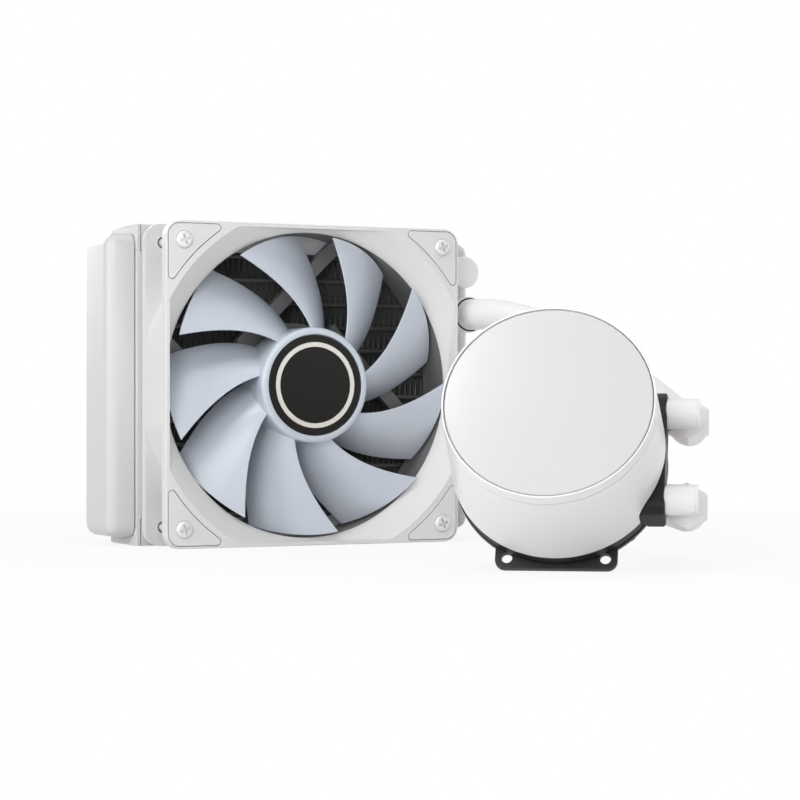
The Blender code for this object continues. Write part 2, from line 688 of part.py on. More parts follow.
def build_fan_motor():
    shaft_front = -HUB_FRONT - HUB_RECESS - HUB_WEB / 2 - GAP
    seat_top = -FAN_DEPTH + SEAT_THICKNESS
    shaft_back = seat_top + GAP * 2
    rods("fan_shaft", SHAFT_RADIUS, [((0, 0, shaft_back), (0, 0, shaft_front))], fan_axis,
         BRIGHT_STEEL)
    bearing_front = -TUBE_FRONT - GAP
    ring("fan_bearing", SHAFT_RADIUS + BEARING_GAP, BEARING_OUTER, seat_top + GAP, bearing_front,
         fan_axis, BRONZE, segments=20)
    yoke_outer = HUB_INNER - GAP
    ring("rotor_yoke", yoke_outer - YOKE_WALL, yoke_outer, -HUB_BACK + GAP, -HUB_FLOOR - GAP,
         fan_axis, IRON)
    magnet_outer = yoke_outer - YOKE_WALL - GAP
    magnet_inner = magnet_outer - MAGNET_WALL
    ring("rotor_magnet", magnet_inner, magnet_outer, -HUB_BACK + HUB_WALL, -HUB_FLOOR - HUB_WALL,
         fan_axis, IRON)
    board_back = seat_top + GAP
    board_front = board_back + BOARD_THICKNESS
    ring("fan_board", TUBE_OUTER + GAP, magnet_inner, board_back, board_front, fan_axis,
         BOARD_GREEN)
    stator_outer = magnet_inner - AIR_GAP
    stator_back = board_front + GAP
    bore = TUBE_OUTER + GAP
    outline = star_outline(bore + STATOR_CORE, stator_outer, STATOR_TOOTH, STATOR_SHOE,
                           STATOR_SHOE_DEPTH)
    plates("fan_stator", [outline, circle(bore)], stator_back, stator_back + STATOR_HEIGHT,
           fan_axis, IRON)


def tube_heights():
    first = CENTRE_Z - TUBE_ROWS / 2
    return [first + i * TUBE_PITCH for i in range(TUBE_COUNT)]


def build_radiator_core():
    """Two header plates and the flat tubes between them, brazed together."""
    bm = bmesh.new()
    for sign in (-1, 1):
        near = sign * CORE_REACH
        far = sign * HEADER_REACH
        add_box(bm, (min(near, far), -RADIATOR_DEPTH / 2, 0),
                (max(near, far), RADIATOR_DEPTH / 2, RADIATOR_HEIGHT))
    outer_edges = [edge for edge in bm.edges
                   if abs(abs(edge.verts[0].co.x) - HEADER_REACH) < GAP / 10
                   and abs(abs(edge.verts[1].co.x) - HEADER_REACH) < GAP / 10]
    bmesh.ops.bevel(bm, geom=outer_edges, offset=HEADER_EDGE, segments=2, profile=0.5,
                    affect="EDGES", material=-1)
    core = from_bmesh("radiator_core", bm, None, FIN_METAL)

    tubes = bmesh.new()
    half_depth = RADIATOR_DEPTH / 2 - TUBE_SETBACK
    reach = HEADER_REACH - HEADER_EDGE
    for height in tube_heights():
        add_box(tubes, (-reach, -half_depth, height - TUBE_THICKNESS / 2),
                (reach, half_depth, height + TUBE_THICKNESS / 2))
    long_edges = [edge for edge in tubes.edges if edge.calc_length() > CORE_REACH]
    bmesh.ops.bevel(tubes, geom=long_edges, offset=TUBE_EDGE, segments=2, profile=0.5,
                    affect="EDGES", material=-1)
    join(core, from_bmesh("core_tubes", tubes))


def build_fins():
    """Folded strips between the tubes, one in each row."""
    height = TUBE_PITCH - TUBE_THICKNESS - 2 * GAP
    half_length = CORE_REACH - GAP
    folds = round(2 * half_length / (FIN_PITCH / 2))
    step = 2 * half_length / folds
    slope = math.hypot(step, height) / step
    lift = FIN_THICKNESS / 2 * slope
    top = height / 2 - lift
    crest = [(-half_length + i * step, top if i % 2 else -top) for i in range(folds + 1)]
    upper = [(x, z + lift) for x, z in crest]
    lower = [(x, z - lift) for x, z in crest]
    depth = RADIATOR_DEPTH / 2 - FIN_SETBACK
    for row, below in enumerate(tube_heights()[:-1], start=1):
        name = f"fin_{row:02d}"
        strip = plate(name, lower + upper[::-1], -depth, depth, None, FIN_METAL)
        strip.location = (0, 0, below + TUBE_PITCH / 2)
        strip.rotation_euler = (math.pi / 2, 0, 0)


def build_side_plate(name, sign):
    """Channel along the radiator's top or bottom, open towards the core."""
    outer = CENTRE_Z + sign * RADIATOR_HEIGHT / 2
    inner = outer - sign * CHANNEL_HEIGHT
    web = outer - sign * CHANNEL_WALL
    length = CORE_REACH - GAP
    half_depth = RADIATOR_DEPTH / 2
    channel = box(name, (-length, -half_depth, min(outer, inner)),
                  (length, half_depth, max(outer, inner)), None, WHITE_PAINT)
    beyond = inner - sign * OVERRUN
    hollow = box(name + "_hollow", (-length - OVERRUN, -half_depth + CHANNEL_WALL, min(web, beyond)),
                 (length + OVERRUN, half_depth - CHANNEL_WALL, max(web, beyond)))
    height = CENTRE_Z + sign * HOLE_REACH
    front = rods(name + "_front_holes", SCREW_RADIUS + GAP,
                 [((x, -half_depth - OVERRUN, height), (x, 0, height))
                  for x in (-HOLE_REACH, HOLE_REACH)], segments=10)
    rear = rods(name + "_rear_holes", REAR_HOLE,
                [((x, 0, height), (x, half_depth + OVERRUN, height))
                 for x in (-HOLE_REACH, HOLE_REACH)], segments=10)
    cut(channel, hollow, front, rear)


def build_tank(name, sign, width):
    """End tank: a cap with rounded outer edges, open towards its header plate."""
    near = sign * (HEADER_REACH + GAP)
    far = near + sign * width
    bottom = CENTRE_Z - TANK_HEIGHT / 2
    top = CENTRE_Z + TANK_HEIGHT / 2
    half_depth = RADIATOR_DEPTH / 2
    bm = bmesh.new()
    add_box(bm, (min(near, far), -half_depth, bottom), (max(near, far), half_depth, top))
    edges = [edge for edge in bm.edges
             if abs(edge.verts[0].co.x - near) > GAP / 10 or abs(edge.verts[1].co.x - near) > GAP / 10]
    bmesh.ops.bevel(bm, geom=edges, offset=TANK_EDGE, segments=4, profile=0.5, affect="EDGES",
                    material=-1)
    tank = from_bmesh(name, bm, None, WHITE_PAINT)
    inside = (near - sign * OVERRUN, far - sign * TANK_WALL)
    hollow = box(name + "_hollow",
                 (min(inside), -half_depth + TANK_WALL * 2, bottom + TANK_EDGE),
                 (max(inside), half_depth - TANK_WALL * 2, top - TANK_EDGE))
    return tank, hollow


def port_height(sign):
    return CENTRE_Z + sign * PORT_Z


def build_tanks():
    left, left_hollow = build_tank("tank_left", -1, TANK_LEFT_WIDTH)
    cut(left, left_hollow)
    right, right_hollow = build_tank("tank_right", 1, TANK_RIGHT_WIDTH)
    face = -RADIATOR_DEPTH / 2
    fill_height = CENTRE_Z + FILL_Z
    cap_front = face - FILL_REACH
    boss_front = cap_front + FILL_CAP_THICKNESS + GAP
    boss = rods("fill_boss", FILL_BOSS,
                [((PORT_X, face + TANK_WALL, fill_height), (PORT_X, boss_front, fill_height))])
    barb_front = face - COLLAR_REACH
    barbs = rods("tank_barbs", BARB_RADIUS,
                 [((PORT_X, face + TANK_WALL, port_height(s)), (PORT_X, barb_front, port_height(s)))
                  for s in (1, -1)])
    join(right, boss, barbs)
    barb_bores = rods("tank_barb_bores", BARB_BORE,
                      [((PORT_X, 0, port_height(s)), (PORT_X, barb_front - OVERRUN, port_height(s)))
                       for s in (1, -1)])
    stem_bore = rods("fill_bore", FILL_STEM + GAP,
                     [((PORT_X, 0, fill_height), (PORT_X, boss_front - OVERRUN, fill_height))])
    cut(right, right_hollow, barb_bores, stem_bore)

    towards_viewer = (math.pi / 2, 0, 0)
    plug_axis = local_frame("fill_plug_axis", (PORT_X, cap_front, fill_height), towards_viewer)
    stem_end = -FILL_REACH
    turned("fill_plug", ((0, 0), (FILL_CAP - FILL_CAP_EDGE, 0), (FILL_CAP, -FILL_CAP_EDGE),
                         (FILL_CAP, -FILL_CAP_THICKNESS), (FILL_STEM, -FILL_CAP_THICKNESS),
                         (FILL_STEM, stem_end), (0, stem_end)), plug_axis, WHITE_PLASTIC, 20)
    for side, s in (("upper", 1), ("lower", -1)):
        axis = local_frame("port_axis_" + side, (PORT_X, barb_front, port_height(s)), towards_viewer)
        inner = BARB_RADIUS + GAP
        back = -COLLAR_REACH + GAP
        groove = GAP
        turned("port_collar_" + side,
               ((inner, 0), (COLLAR_RADIUS - groove, 0), (COLLAR_RADIUS, -groove),
                (COLLAR_RADIUS, -COLLAR_GROOVE + groove), (COLLAR_RADIUS - groove, -COLLAR_GROOVE),
                (COLLAR_RADIUS, -COLLAR_GROOVE - groove), (COLLAR_RADIUS, back), (inner, back)),
               axis, WHITE_PLASTIC, 16)


def build_pump_cover():
    """Tapered outer shell with a thin lip round the face plate and a notch for the ports."""
    front = COVER_FRONT_RADIUS
    back = COVER_BACK_RADIUS
    lip = front - COVER_LIP
    slope = (back - front) / COVER_HEIGHT
    groove_radius = front + slope * COVER_GROOVE
    ledge_front = -FACE_SINK - FACE_THICKNESS - GAP
    ledge_back = ledge_front - COVER_WALL
    round_off = GAP
    profile = ((lip, -round_off), (lip + round_off, 0), (front - round_off, 0), (front, -round_off),
               (groove_radius, -COVER_GROOVE + GAP),
               (groove_radius - GAP, -COVER_GROOVE), (groove_radius, -COVER_GROOVE - GAP),
               (back, -COVER_HEIGHT), (back - COVER_WALL, -COVER_HEIGHT),
               (groove_radius - COVER_WALL, ledge_back), (lip - COVER_LEDGE, ledge_back),
               (lip - COVER_LEDGE, ledge_front), (lip, ledge_front))
    cover = turned("pump_cover", profile, pump_axis, WHITE_PLASTIC, segments=40)
    half = BLOCK_HALF + NOTCH_MARGIN
    top = BLOCK_FRONT - NOTCH_MARGIN
    outline = rounded_box_outline(half, COVER_HEIGHT - top, NOTCH_CORNER)
    notch = plate("cover_notch", outline, 0, COVER_BACK_RADIUS, pump_axis)
    notch.location = (HOUSING_RADIUS / 2, 0, -COVER_HEIGHT)
    notch.rotation_euler = (math.pi / 2, 0, math.pi / 2)
    cut(cover, notch)
    face_radius = lip - GAP / 2
    face_front = -FACE_SINK
    face_back = face_front - FACE_THICKNESS
    turned("face_plate", ((0, face_front), (face_radius - GAP, face_front),
                          (face_radius, face_front - GAP), (face_radius, face_back), (0, face_back)),
           pump_axis, FACE_GLOSS, segments=40)


def port_block(name, root, low, high, front_corner=0.0):
    """Box that carries the ports, with its outer edges and its front corners rounded."""
    bm = bmesh.new()
    add_box(bm, (root, -BLOCK_HALF, low), (BLOCK_FACE, BLOCK_HALF, high))
    outer_edges = [edge for edge in bm.edges
                   if min(v.co.x for v in edge.verts) > HOUSING_RADIUS
                   and abs(edge.verts[0].co.z - edge.verts[1].co.z) > BLOCK_EDGE]
    bmesh.ops.bevel(bm, geom=outer_edges, offset=BLOCK_EDGE, segments=1, profile=0.5,
                    affect="EDGES", material=-1)
    if front_corner:
        front_edges = [edge for edge in bm.edges
                       if min(v.co.z for v in edge.verts) > high - BLOCK_EDGE
                       and abs(edge.verts[0].co.y - edge.verts[1].co.y) < GAP
                       and abs(edge.verts[0].co.x - edge.verts[1].co.x) > BLOCK_EDGE]
        bmesh.ops.bevel(bm, geom=front_edges, offset=front_corner, segments=3, profile=0.5,
                        affect="EDGES", material=-1)
    return from_bmesh(name, bm, pump_axis)


def build_pump_housing():
    """Black base with the wet chamber behind, the motor pocket in front and the port block."""
    groove_half = SEAL_SECTION + GAP
    groove_floor = -HOUSING_BACK + SEAL_SECTION * 2 + GAP
    cup_outer = CUP_RADIUS + CUP_WALL
    pocket_outer = HOUSING_RADIUS - HOUSING_WALL
    pocket_floor = -HOUSING_FRONT - MOTOR_POCKET
    profile = ((0, -HOUSING_FRONT), (cup_outer, -HOUSING_FRONT), (cup_outer, pocket_floor),
               (pocket_outer, pocket_floor), (pocket_outer, -HOUSING_FRONT),
               (HOUSING_RADIUS, -HOUSING_FRONT), (HOUSING_RADIUS, -COVER_HEIGHT - COVER_SEAT),
               (BASE_RADIUS, -COVER_HEIGHT - COVER_SEAT), (BASE_RADIUS, -HOUSING_BACK),
               (SEAL_RADIUS + groove_half, -HOUSING_BACK), (SEAL_RADIUS + groove_half, groove_floor),
               (SEAL_RADIUS - groove_half, groove_floor), (SEAL_RADIUS - groove_half, -HOUSING_BACK),
               (CHAMBER_RADIUS, -HOUSING_BACK), (CHAMBER_RADIUS, -CHAMBER_FLOOR),
               (CUP_RADIUS, -CHAMBER_FLOOR), (CUP_RADIUS, -CUP_FLOOR), (0, -CUP_FLOOR))
    housing = turned("pump_housing", profile, pump_axis, BLACK_PLASTIC, segments=32)
    block_back = -HOUSING_BACK + BLOCK_BACK_INSET
    block = port_block("port_block", CHAMBER_RADIUS + GAP, groove_floor + GAP, -BLOCK_FRONT,
                       NOTCH_CORNER - NOTCH_MARGIN)
    skirt = port_block("port_block_skirt", SEAL_RADIUS + groove_half + GAP, block_back,
                       groove_floor + BLOCK_EDGE * 2)
    join(housing, block, skirt)
    recess_floor = BLOCK_FACE - PORT_RECESS_DEPTH
    bore_end = recess_floor - PORT_BORE_DEPTH

    def along_ports(near, far):
        return [((near, s * PORT_SPACING, -PORT_DEPTH), (far, s * PORT_SPACING, -PORT_DEPTH))
                for s in (1, -1)]

    recesses = rods("port_recesses", PORT_RECESS, along_ports(recess_floor, BLOCK_FACE + OVERRUN),
                    pump_axis)
    bores = rods("port_bores", PORT_BORE, along_ports(bore_end, BLOCK_FACE + OVERRUN), pump_axis)
    channels = rods("port_channels", PORT_CHANNEL, along_ports(CHAMBER_RADIUS / 2, BLOCK_FACE),
                    pump_axis, segments=10)
    screw_holes = rods("housing_screw_holes", PLATE_SCREW_RADIUS + GAP,
                       [((x, y, -HOUSING_BACK - OVERRUN),
                         (x, y, -BRACKET_BACK - GAP + PLATE_SCREW_LENGTH + GAP))
                        for x, y in screw_places()], pump_axis, segments=8)
    cut(housing, recesses, bores, channels, screw_holes)


def screw_places():
    angles = (math.pi / 4 + i * math.pi / 2 for i in range(4))
    return [(PLATE_SCREW_CIRCLE * math.cos(a), PLATE_SCREW_CIRCLE * math.sin(a)) for a in angles]


def build_pump_inside():
    """Drive above the wet chamber, and the impeller on its shaft inside it."""
    board_back = -HOUSING_FRONT + GAP
    rods("pump_board", HOUSING_RADIUS - PUMP_BOARD_INSET,
         [((0, 0, board_back), (0, 0, board_back + BOARD_THICKNESS))], pump_axis, BOARD_GREEN,
         segments=32)
    outer = HOUSING_RADIUS - HOUSING_WALL - GAP
    bore = CUP_RADIUS + CUP_WALL + GAP
    back = -HOUSING_FRONT - MOTOR_POCKET + GAP
    outline = star_outline(bore + PUMP_CORE, outer, PUMP_TOOTH, PUMP_SHOE, PUMP_SHOE_DEPTH)
    plates("pump_stator", [outline, circle(bore, 24)], back, -HOUSING_FRONT - GAP, pump_axis, IRON)

    shaft_front = -CUP_FLOOR - GAP
    shaft_back = -CHAMBER_PLATE_FRONT + GAP
    rods("impeller_shaft", PUMP_SHAFT, [((0, 0, shaft_back), (0, 0, shaft_front))], pump_axis,
         BRIGHT_STEEL)
    stem = CUP_RADIUS - AIR_GAP
    hole = PUMP_SHAFT + BEARING_GAP
    stem_front = shaft_front - GAP
    disc_front = -CHAMBER_FLOOR - AIR_GAP
    disc_back = disc_front - IMPELLER_DISC
    vane_back = disc_back - IMPELLER_VANE
    impeller = turned("impeller", ((hole, stem_front), (stem, stem_front), (stem, disc_front),
                                   (IMPELLER_RADIUS, disc_front), (IMPELLER_RADIUS, disc_back),
                                   (stem / 2, disc_back), (stem / 2, vane_back), (hole, vane_back)),
                      pump_axis, WHITE_PLASTIC)
    bm = bmesh.new()
    for i in range(VANE_COUNT):
        add_box(bm, (stem, stem / 2, vane_back), (IMPELLER_RADIUS - VANE_INSET, stem / 2 + VANE_WIDTH,
                                                  disc_back + IMPELLER_DISC / 2),
                i * math.tau / VANE_COUNT)
    join(impeller, from_bmesh("impeller_vanes", bm, pump_axis))

    cover_plate = rods("chamber_plate", CHAMBER_RADIUS - GAP,
                       [((0, 0, -CHAMBER_PLATE_BACK), (0, 0, -CHAMBER_PLATE_FRONT))], pump_axis,
                       WHITE_PLASTIC, segments=32)
    inlet_circle = IMPELLER_RADIUS / 2
    inlets = rods("chamber_inlets", CHAMBER_INLET,
                  [((s * inlet_circle, 0, -CHAMBER_PLATE_BACK - OVERRUN),
                    (s * inlet_circle, 0, -CHAMBER_PLATE_FRONT + OVERRUN)) for s in (1, -1)],
                  pump_axis)
    cut(cover_plate, inlets)
    section = arc((SEAL_RADIUS, -HOUSING_BACK + SEAL_SECTION), SEAL_SECTION, math.pi / 2,
                  -math.pi * 7 / 6, 5)
    turned("chamber_seal", section, pump_axis, SEAL_RUBBER)


def build_cold_plate():
    """Copper plate with a raised contact face."""
    flange = rods("cold_plate", COLD_RADIUS, [((0, 0, -BRACKET_BACK), (0, 0, -BRACKET_FRONT))],
                  pump_axis, COPPER, segments=32)
    half = (COLD_RADIUS - COLD_STEP_MARGIN - COLD_STEP_CORNER) / math.sqrt(2) + COLD_STEP_CORNER
    step = plate("cold_step", rounded_box_outline(half, half, COLD_STEP_CORNER),
                 -BRACKET_BACK - COLD_STEP, -BRACKET_FRONT - BRACKET_THICKNESS / 2, pump_axis)
    join(flange, step)


def build_bracket():
    """Steel plate round the cold plate, with a pair of screw ears above and below."""
    outline = rounded_box_outline(EAR_HALF, EAR_REACH, EAR_CORNER)
    bracket = plate("bracket", outline, -BRACKET_BACK, -BRACKET_FRONT, pump_axis, BLACK_STEEL)
    disc = rods("bracket_ring", BASE_RADIUS, [((0, 0, -BRACKET_BACK), (0, 0, -BRACKET_FRONT))],
                pump_axis, segments=32)
    join(bracket, disc)
    middle = rods("bracket_opening", COLD_RADIUS + GAP,
                  [((0, 0, -BRACKET_BACK - OVERRUN), (0, 0, -BRACKET_FRONT + OVERRUN))], pump_axis,
                  segments=32)
    ear_holes = rods("ear_holes", EAR_HOLE,
                     [((x, y, -BRACKET_BACK - OVERRUN), (x, y, -BRACKET_FRONT + OVERRUN))
                      for x, y, _, _ in quarter_turns((EAR_HOLE_SPACING, EAR_REACH - EAR_HOLE_INSET))],
                     pump_axis, segments=10)
    screw_holes = rods("bracket_screw_holes", PLATE_SCREW_RADIUS + GAP,
                       [((x, y, -BRACKET_BACK - OVERRUN), (x, y, -BRACKET_FRONT + OVERRUN))
                        for x, y in screw_places()], pump_axis, segments=10)
    cut(bracket, middle, ear_holes, screw_holes)
    for number, (x, y) in enumerate(screw_places(), start=1):
        axis = local_frame(f"bracket_screw_axis_{number}", (x, y, -BRACKET_BACK - GAP),
                           parent=pump_axis)
        turned(f"bracket_screw_{number}",
               ((0, PLATE_SCREW_LENGTH), (PLATE_SCREW_RADIUS, PLATE_SCREW_LENGTH),
                (PLATE_SCREW_RADIUS, 0), (PLATE_SCREW_HEAD, 0),
                (PLATE_SCREW_HEAD, PLATE_SCREW_EDGE - PLATE_SCREW_HEIGHT),
                (PLATE_SCREW_HEAD - PLATE_SCREW_EDGE, -PLATE_SCREW_HEIGHT), (0, -PLATE_SCREW_HEIGHT)),
               axis, BLACK_STEEL, segments=10)


def build_elbow(side):
    """Stub on the port block and a hexagonal socket that takes the hose."""
    axis = elbow_axes[side]
    spigot_end = BLOCK_FACE - PORT_RECESS_DEPTH - PORT_BORE_DEPTH + GAP - ELBOW_CENTRE
    shoulder = BLOCK_FACE - PORT_RECESS_DEPTH + GAP - ELBOW_CENTRE
    far = ELBOW_REACH - ELBOW_CENTRE
    bm = bmesh.new()
    add_rod(bm, ELBOW_STUB, (shoulder, 0, 0), (far, 0, 0))
    elbow = from_bmesh("elbow_" + side, bm, axis, WHITE_PLASTIC)
    spigot = rods("elbow_spigot_" + side, PORT_BORE - GAP,
                  [((spigot_end, 0, 0), (shoulder + OVERRUN, 0, 0))], axis)
    neck = rods("elbow_neck_" + side, far - GAP,
                [((0, 0, 0), (0, 0, -SOCKET_START - OVERRUN))], axis)
    corner = SOCKET_FLATS / 2 / math.cos(math.pi / 6)
    hexagon = [(corner * math.sin(i * math.tau / 6), corner * math.cos(i * math.tau / 6))
               for i in range(6)]
    socket = plate("elbow_socket_" + side, hexagon[::-1], -SOCKET_END, -SOCKET_START, axis)
    edge = socket.modifiers.new("chamfer", "BEVEL")
    edge.width = SOCKET_CHAMFER
    edge.segments = 1
    edge.limit_method = "ANGLE"
    edge.angle_limit = math.radians(75)
    join(elbow, spigot, neck, socket)


def smooth_route(points, first_way, last_way, step):
    """Points at about the given spacing along one smooth curve through the given points.

    The curve leaves along first_way and arrives along last_way, both of length 1.
    """
    knots = [Vector(point) for point in points]
    last = len(knots) - 1
    ways = [(knots[i + 1] - knots[i - 1]) / 2 for i in range(1, last)]
    ways.insert(0, Vector(first_way) * (knots[1] - knots[0]).length)
    ways.append(Vector(last_way) * (knots[last] - knots[last - 1]).length)
    route = [knots[0]]
    for i in range(last):
        here = knots[i]
        there = knots[i + 1]
        pieces = max(1, round((there - here).length / step))
        for k in range(1, pieces + 1):
            t = k / pieces
            route.append(here * (2 * t ** 3 - 3 * t ** 2 + 1) + ways[i] * (t ** 3 - 2 * t ** 2 + t)
                         + there * (3 * t ** 2 - 2 * t ** 3) + ways[i + 1] * (t ** 3 - t ** 2))
    return route


def build_hose(name, side, sign, middle):
    """One hose, from the face of its collar to the face of its elbow's socket."""
    bpy.context.view_layer.update()
    start = Vector((PORT_X, -RADIATOR_DEPTH / 2 - COLLAR_REACH - GAP, port_height(sign)))
    elbow_place = elbow_axes[side].matrix_world
    end = elbow_place @ Vector((0, 0, -SOCKET_END - GAP))
    into_elbow = elbow_place.to_3x3() @ Vector((0, 0, 1))
    curve = bpy.data.curves.new(name, "CURVE")
    curve.dimensions = "3D"
    curve.bevel_depth = HOSE_RADIUS
    curve.bevel_resolution = 3
    curve.use_fill_caps = True
    from_collar = Vector((0, -1, 0))
    first = start + from_collar * HOSE_LEAD
    last = end - into_elbow * HOSE_LEAD
    route = [start, *smooth_route([first, *middle, last], from_collar, into_elbow, HOSE_STEP), end]
    spline = curve.splines.new("POLY")
    spline.points.add(len(route) - 1)
    for point, place in zip(spline.points, route):
        point.co = (*place, 1)
    curve_to_mesh(name, curve, None, WHITE_PLASTIC)


build_radiator_core()
build_fins()
build_side_plate("side_plate_top", 1)
build_side_plate("side_plate_bottom", -1)
build_tanks()
build_fan_frame()
for _, _, right, up in quarter_turns((1, 1)):
    build_corner(right, up)
build_fan_rotor()
build_hub_face()
build_fan_motor()
build_pump_cover()
build_pump_housing()
build_pump_inside()
build_cold_plate()
build_bracket()
build_elbow("upper")
build_elbow("lower")
build_hose("hose_upper", "upper", 1, UPPER_ROUTE)
build_hose("hose_lower", "lower", -1, LOWER_ROUTE)
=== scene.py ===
import json
import math

import bmesh
import bpy
from mathutils import Euler, Matrix, Vector


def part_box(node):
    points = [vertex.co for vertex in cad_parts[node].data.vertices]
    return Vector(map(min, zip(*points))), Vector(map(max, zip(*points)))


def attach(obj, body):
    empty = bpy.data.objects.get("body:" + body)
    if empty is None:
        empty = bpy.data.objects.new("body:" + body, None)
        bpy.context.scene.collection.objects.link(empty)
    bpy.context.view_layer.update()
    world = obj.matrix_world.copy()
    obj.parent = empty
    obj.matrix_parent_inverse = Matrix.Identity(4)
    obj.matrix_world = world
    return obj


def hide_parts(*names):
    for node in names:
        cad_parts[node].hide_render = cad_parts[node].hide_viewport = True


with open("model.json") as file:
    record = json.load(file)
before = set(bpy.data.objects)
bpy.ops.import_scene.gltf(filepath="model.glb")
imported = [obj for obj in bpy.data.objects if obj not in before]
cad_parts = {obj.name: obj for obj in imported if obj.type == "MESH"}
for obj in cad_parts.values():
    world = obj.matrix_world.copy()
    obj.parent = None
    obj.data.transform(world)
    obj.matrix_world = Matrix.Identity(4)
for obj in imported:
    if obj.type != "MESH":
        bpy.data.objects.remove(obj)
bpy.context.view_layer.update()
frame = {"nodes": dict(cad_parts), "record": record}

# Lengths are in metres and angles in radians

# Clearances and tolerances
SEAM = 0.0003
NEAR = 0.0001
OVERRUN = 0.002
WELD = 0.000002
FLAT = math.radians(0.5)

# Angles past which an edge is shaded sharp
SHARP = math.radians(32)
SHARP_FINE = math.radians(24)
SHARP_ROTOR = math.radians(40)
SHARP_FOLD = math.radians(60)

# Steps round a circle
ROUND_SKIN = 160
ROUND_PLATE = 128
ROUND_FITTING = 96
ROUND_NECK = 64
ROUND_ROD = 48
ROUND_SMALL = 32
ROUND_TINY = 24

# Places taken from the model
FAN_LOW, FAN_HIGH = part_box("fan_frame")
FAN_SIZE = FAN_HIGH[0] - FAN_LOW[0]
FAN_DEPTH = FAN_HIGH[1] - FAN_LOW[1]
FAN_FRONT = FAN_LOW[1]
CENTRE_Z = (FAN_LOW[2] + FAN_HIGH[2]) / 2
CORE_LOW, CORE_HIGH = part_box("radiator_core")
COLLAR_LOW, COLLAR_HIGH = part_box("port_collar_upper")
COLLAR_FRONT = COLLAR_LOW[1]
PORT_X = (COLLAR_LOW[0] + COLLAR_HIGH[0]) / 2
PORT_UPPER_Z = (COLLAR_LOW[2] + COLLAR_HIGH[2]) / 2
PORT_RISE = PORT_UPPER_Z - CENTRE_Z
PLUG_LOW, PLUG_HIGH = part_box("fill_plug")

# Camera
CAMERA_LENS = 109.6
CAMERA_SENSOR = 36
CAMERA_NEAR = 0.01
CAMERA_PLACE = (-0.37417, -0.86240, 0.05284)
CAMERA_TURN = (math.radians(90.07), 0, math.radians(-26.40))

# Pump: where it stands and how it leans
PUMP_PLACE = (-0.00544, -0.2206, 0.053640)
PUMP_LEAN = math.radians(27.74)
PUMP_TURN = math.radians(-35.49)
PUMP_ANGLES = (math.pi / 2 - PUMP_LEAN, 0, PUMP_TURN)
PORT_SPACING = 0.0151
PORT_DEPTH = 0.0379
ELBOW_CENTRE = 0.0403
ELBOW_SWIVEL = math.radians(14)

# Elbows
ELBOW_STUB = 0.00485
ELBOW_END = 0.0040
ELBOW_SOFTENING = 0.00015
ELBOW_LINE = 0.0002
SOCKET_SIDES = 6
SOCKET_FLATS = 0.0130
SOCKET_START = 0.0078
SOCKET_END = 0.0132
SOCKET_CHAMFER = 0.0013
SPIGOT = 0.0037
SPIGOT_END = 0.0128

# Pump cover and face
COVER_FRONT_RADIUS = 0.0327
COVER_BACK_RADIUS = 0.03445
COVER_HEIGHT = 0.0403
COVER_WALL = 0.002
COVER_LIP = 0.0006
COVER_LIP_TURN = 0.00025
COVER_GROOVE = 0.0045
COVER_GROOVE_WIDTH = 0.0004
COVER_GROOVE_DEPTH = 0.0007
COVER_LEDGE = 0.0025
FACE_THICKNESS = 0.0018
FACE_SINK = 0.00015
NOTCH_MARGIN = 0.0008
NOTCH_CORNER = 0.0045

# Pump housing
HOUSING_RADIUS = 0.030
HOUSING_WALL = 0.0025
HOUSING_FRONT = 0.024
HOUSING_BACK = 0.0452
BASE_RADIUS = 0.0340
MOTOR_POCKET = 0.008
COVER_SEAT = 0.0005
CHAMBER_FLOOR = 0.034
CHAMBER_RADIUS = 0.0235
CUP_RADIUS = 0.007
CUP_WALL = 0.0015
CUP_FLOOR = 0.026
SEAL_RADIUS = 0.0271
SEAL_GROOVE = 0.0009
SEAL_GROOVE_DEPTH = 0.0015
BLOCK_FACE = 0.0342
BLOCK_HALF = 0.0213
BLOCK_FRONT = 0.0328
BLOCK_BACK_INSET = 0.0007
BLOCK_EDGE = 0.0008
PORT_RECESS = 0.0054
PORT_RECESS_DEPTH = 0.0006
PORT_BORE = 0.004
PORT_BORE_END = 0.0269

# Cold plate, bracket and their screws
BRACKET_RADIUS = 0.0343
BRACKET_THICKNESS = 0.0018
BRACKET_SOFTENING = 0.00025
COLD_RADIUS = 0.0292
COLD_STEP = 0.0025
COLD_STEP_HALF = 0.01998
COLD_STEP_CORNER = 0.004
EAR_HALF = 0.0193
EAR_REACH = 0.03573
EAR_CORNER = 0.0033
EAR_HOLE = 0.00175
EAR_HOLE_PLACE = (0.0155, 0.03203)
PLATE_SCREW_COUNT = 4
PLATE_SCREW_CIRCLE = 0.0314
PLATE_SCREW_RADIUS = 0.001
PLATE_SCREW_HEAD = 0.0026
PLATE_SCREW_HEIGHT = 0.0012
PLATE_SCREW_EDGE = 0.0005
PLATE_SCREW_LENGTH = 0.005
PLATE_SCREW_SLOT = 0.0006
PLATE_SCREW_SLOT_REACH = 0.0013

# Hoses
HOSE_RADIUS = 0.006
HOSE_STEP = 0.005
HOSE_LEAD = 0.003
HOSE_ROUNDNESS = 14
UPPER_ROUTE = ((0.0708, -0.0592, 0.0850), (0.0727, -0.0891, 0.0787), (0.0750, -0.1178, 0.0689),
               (0.0757, -0.1460, 0.0573), (0.0713, -0.1744, 0.0479))
LOWER_ROUTE = ((0.0704, -0.0609, 0.0309), (0.0713, -0.0922, 0.0282), (0.0718, -0.1232, 0.0242),
               (0.0702, -0.1547, 0.0200), (0.0637, -0.1852, 0.0176))

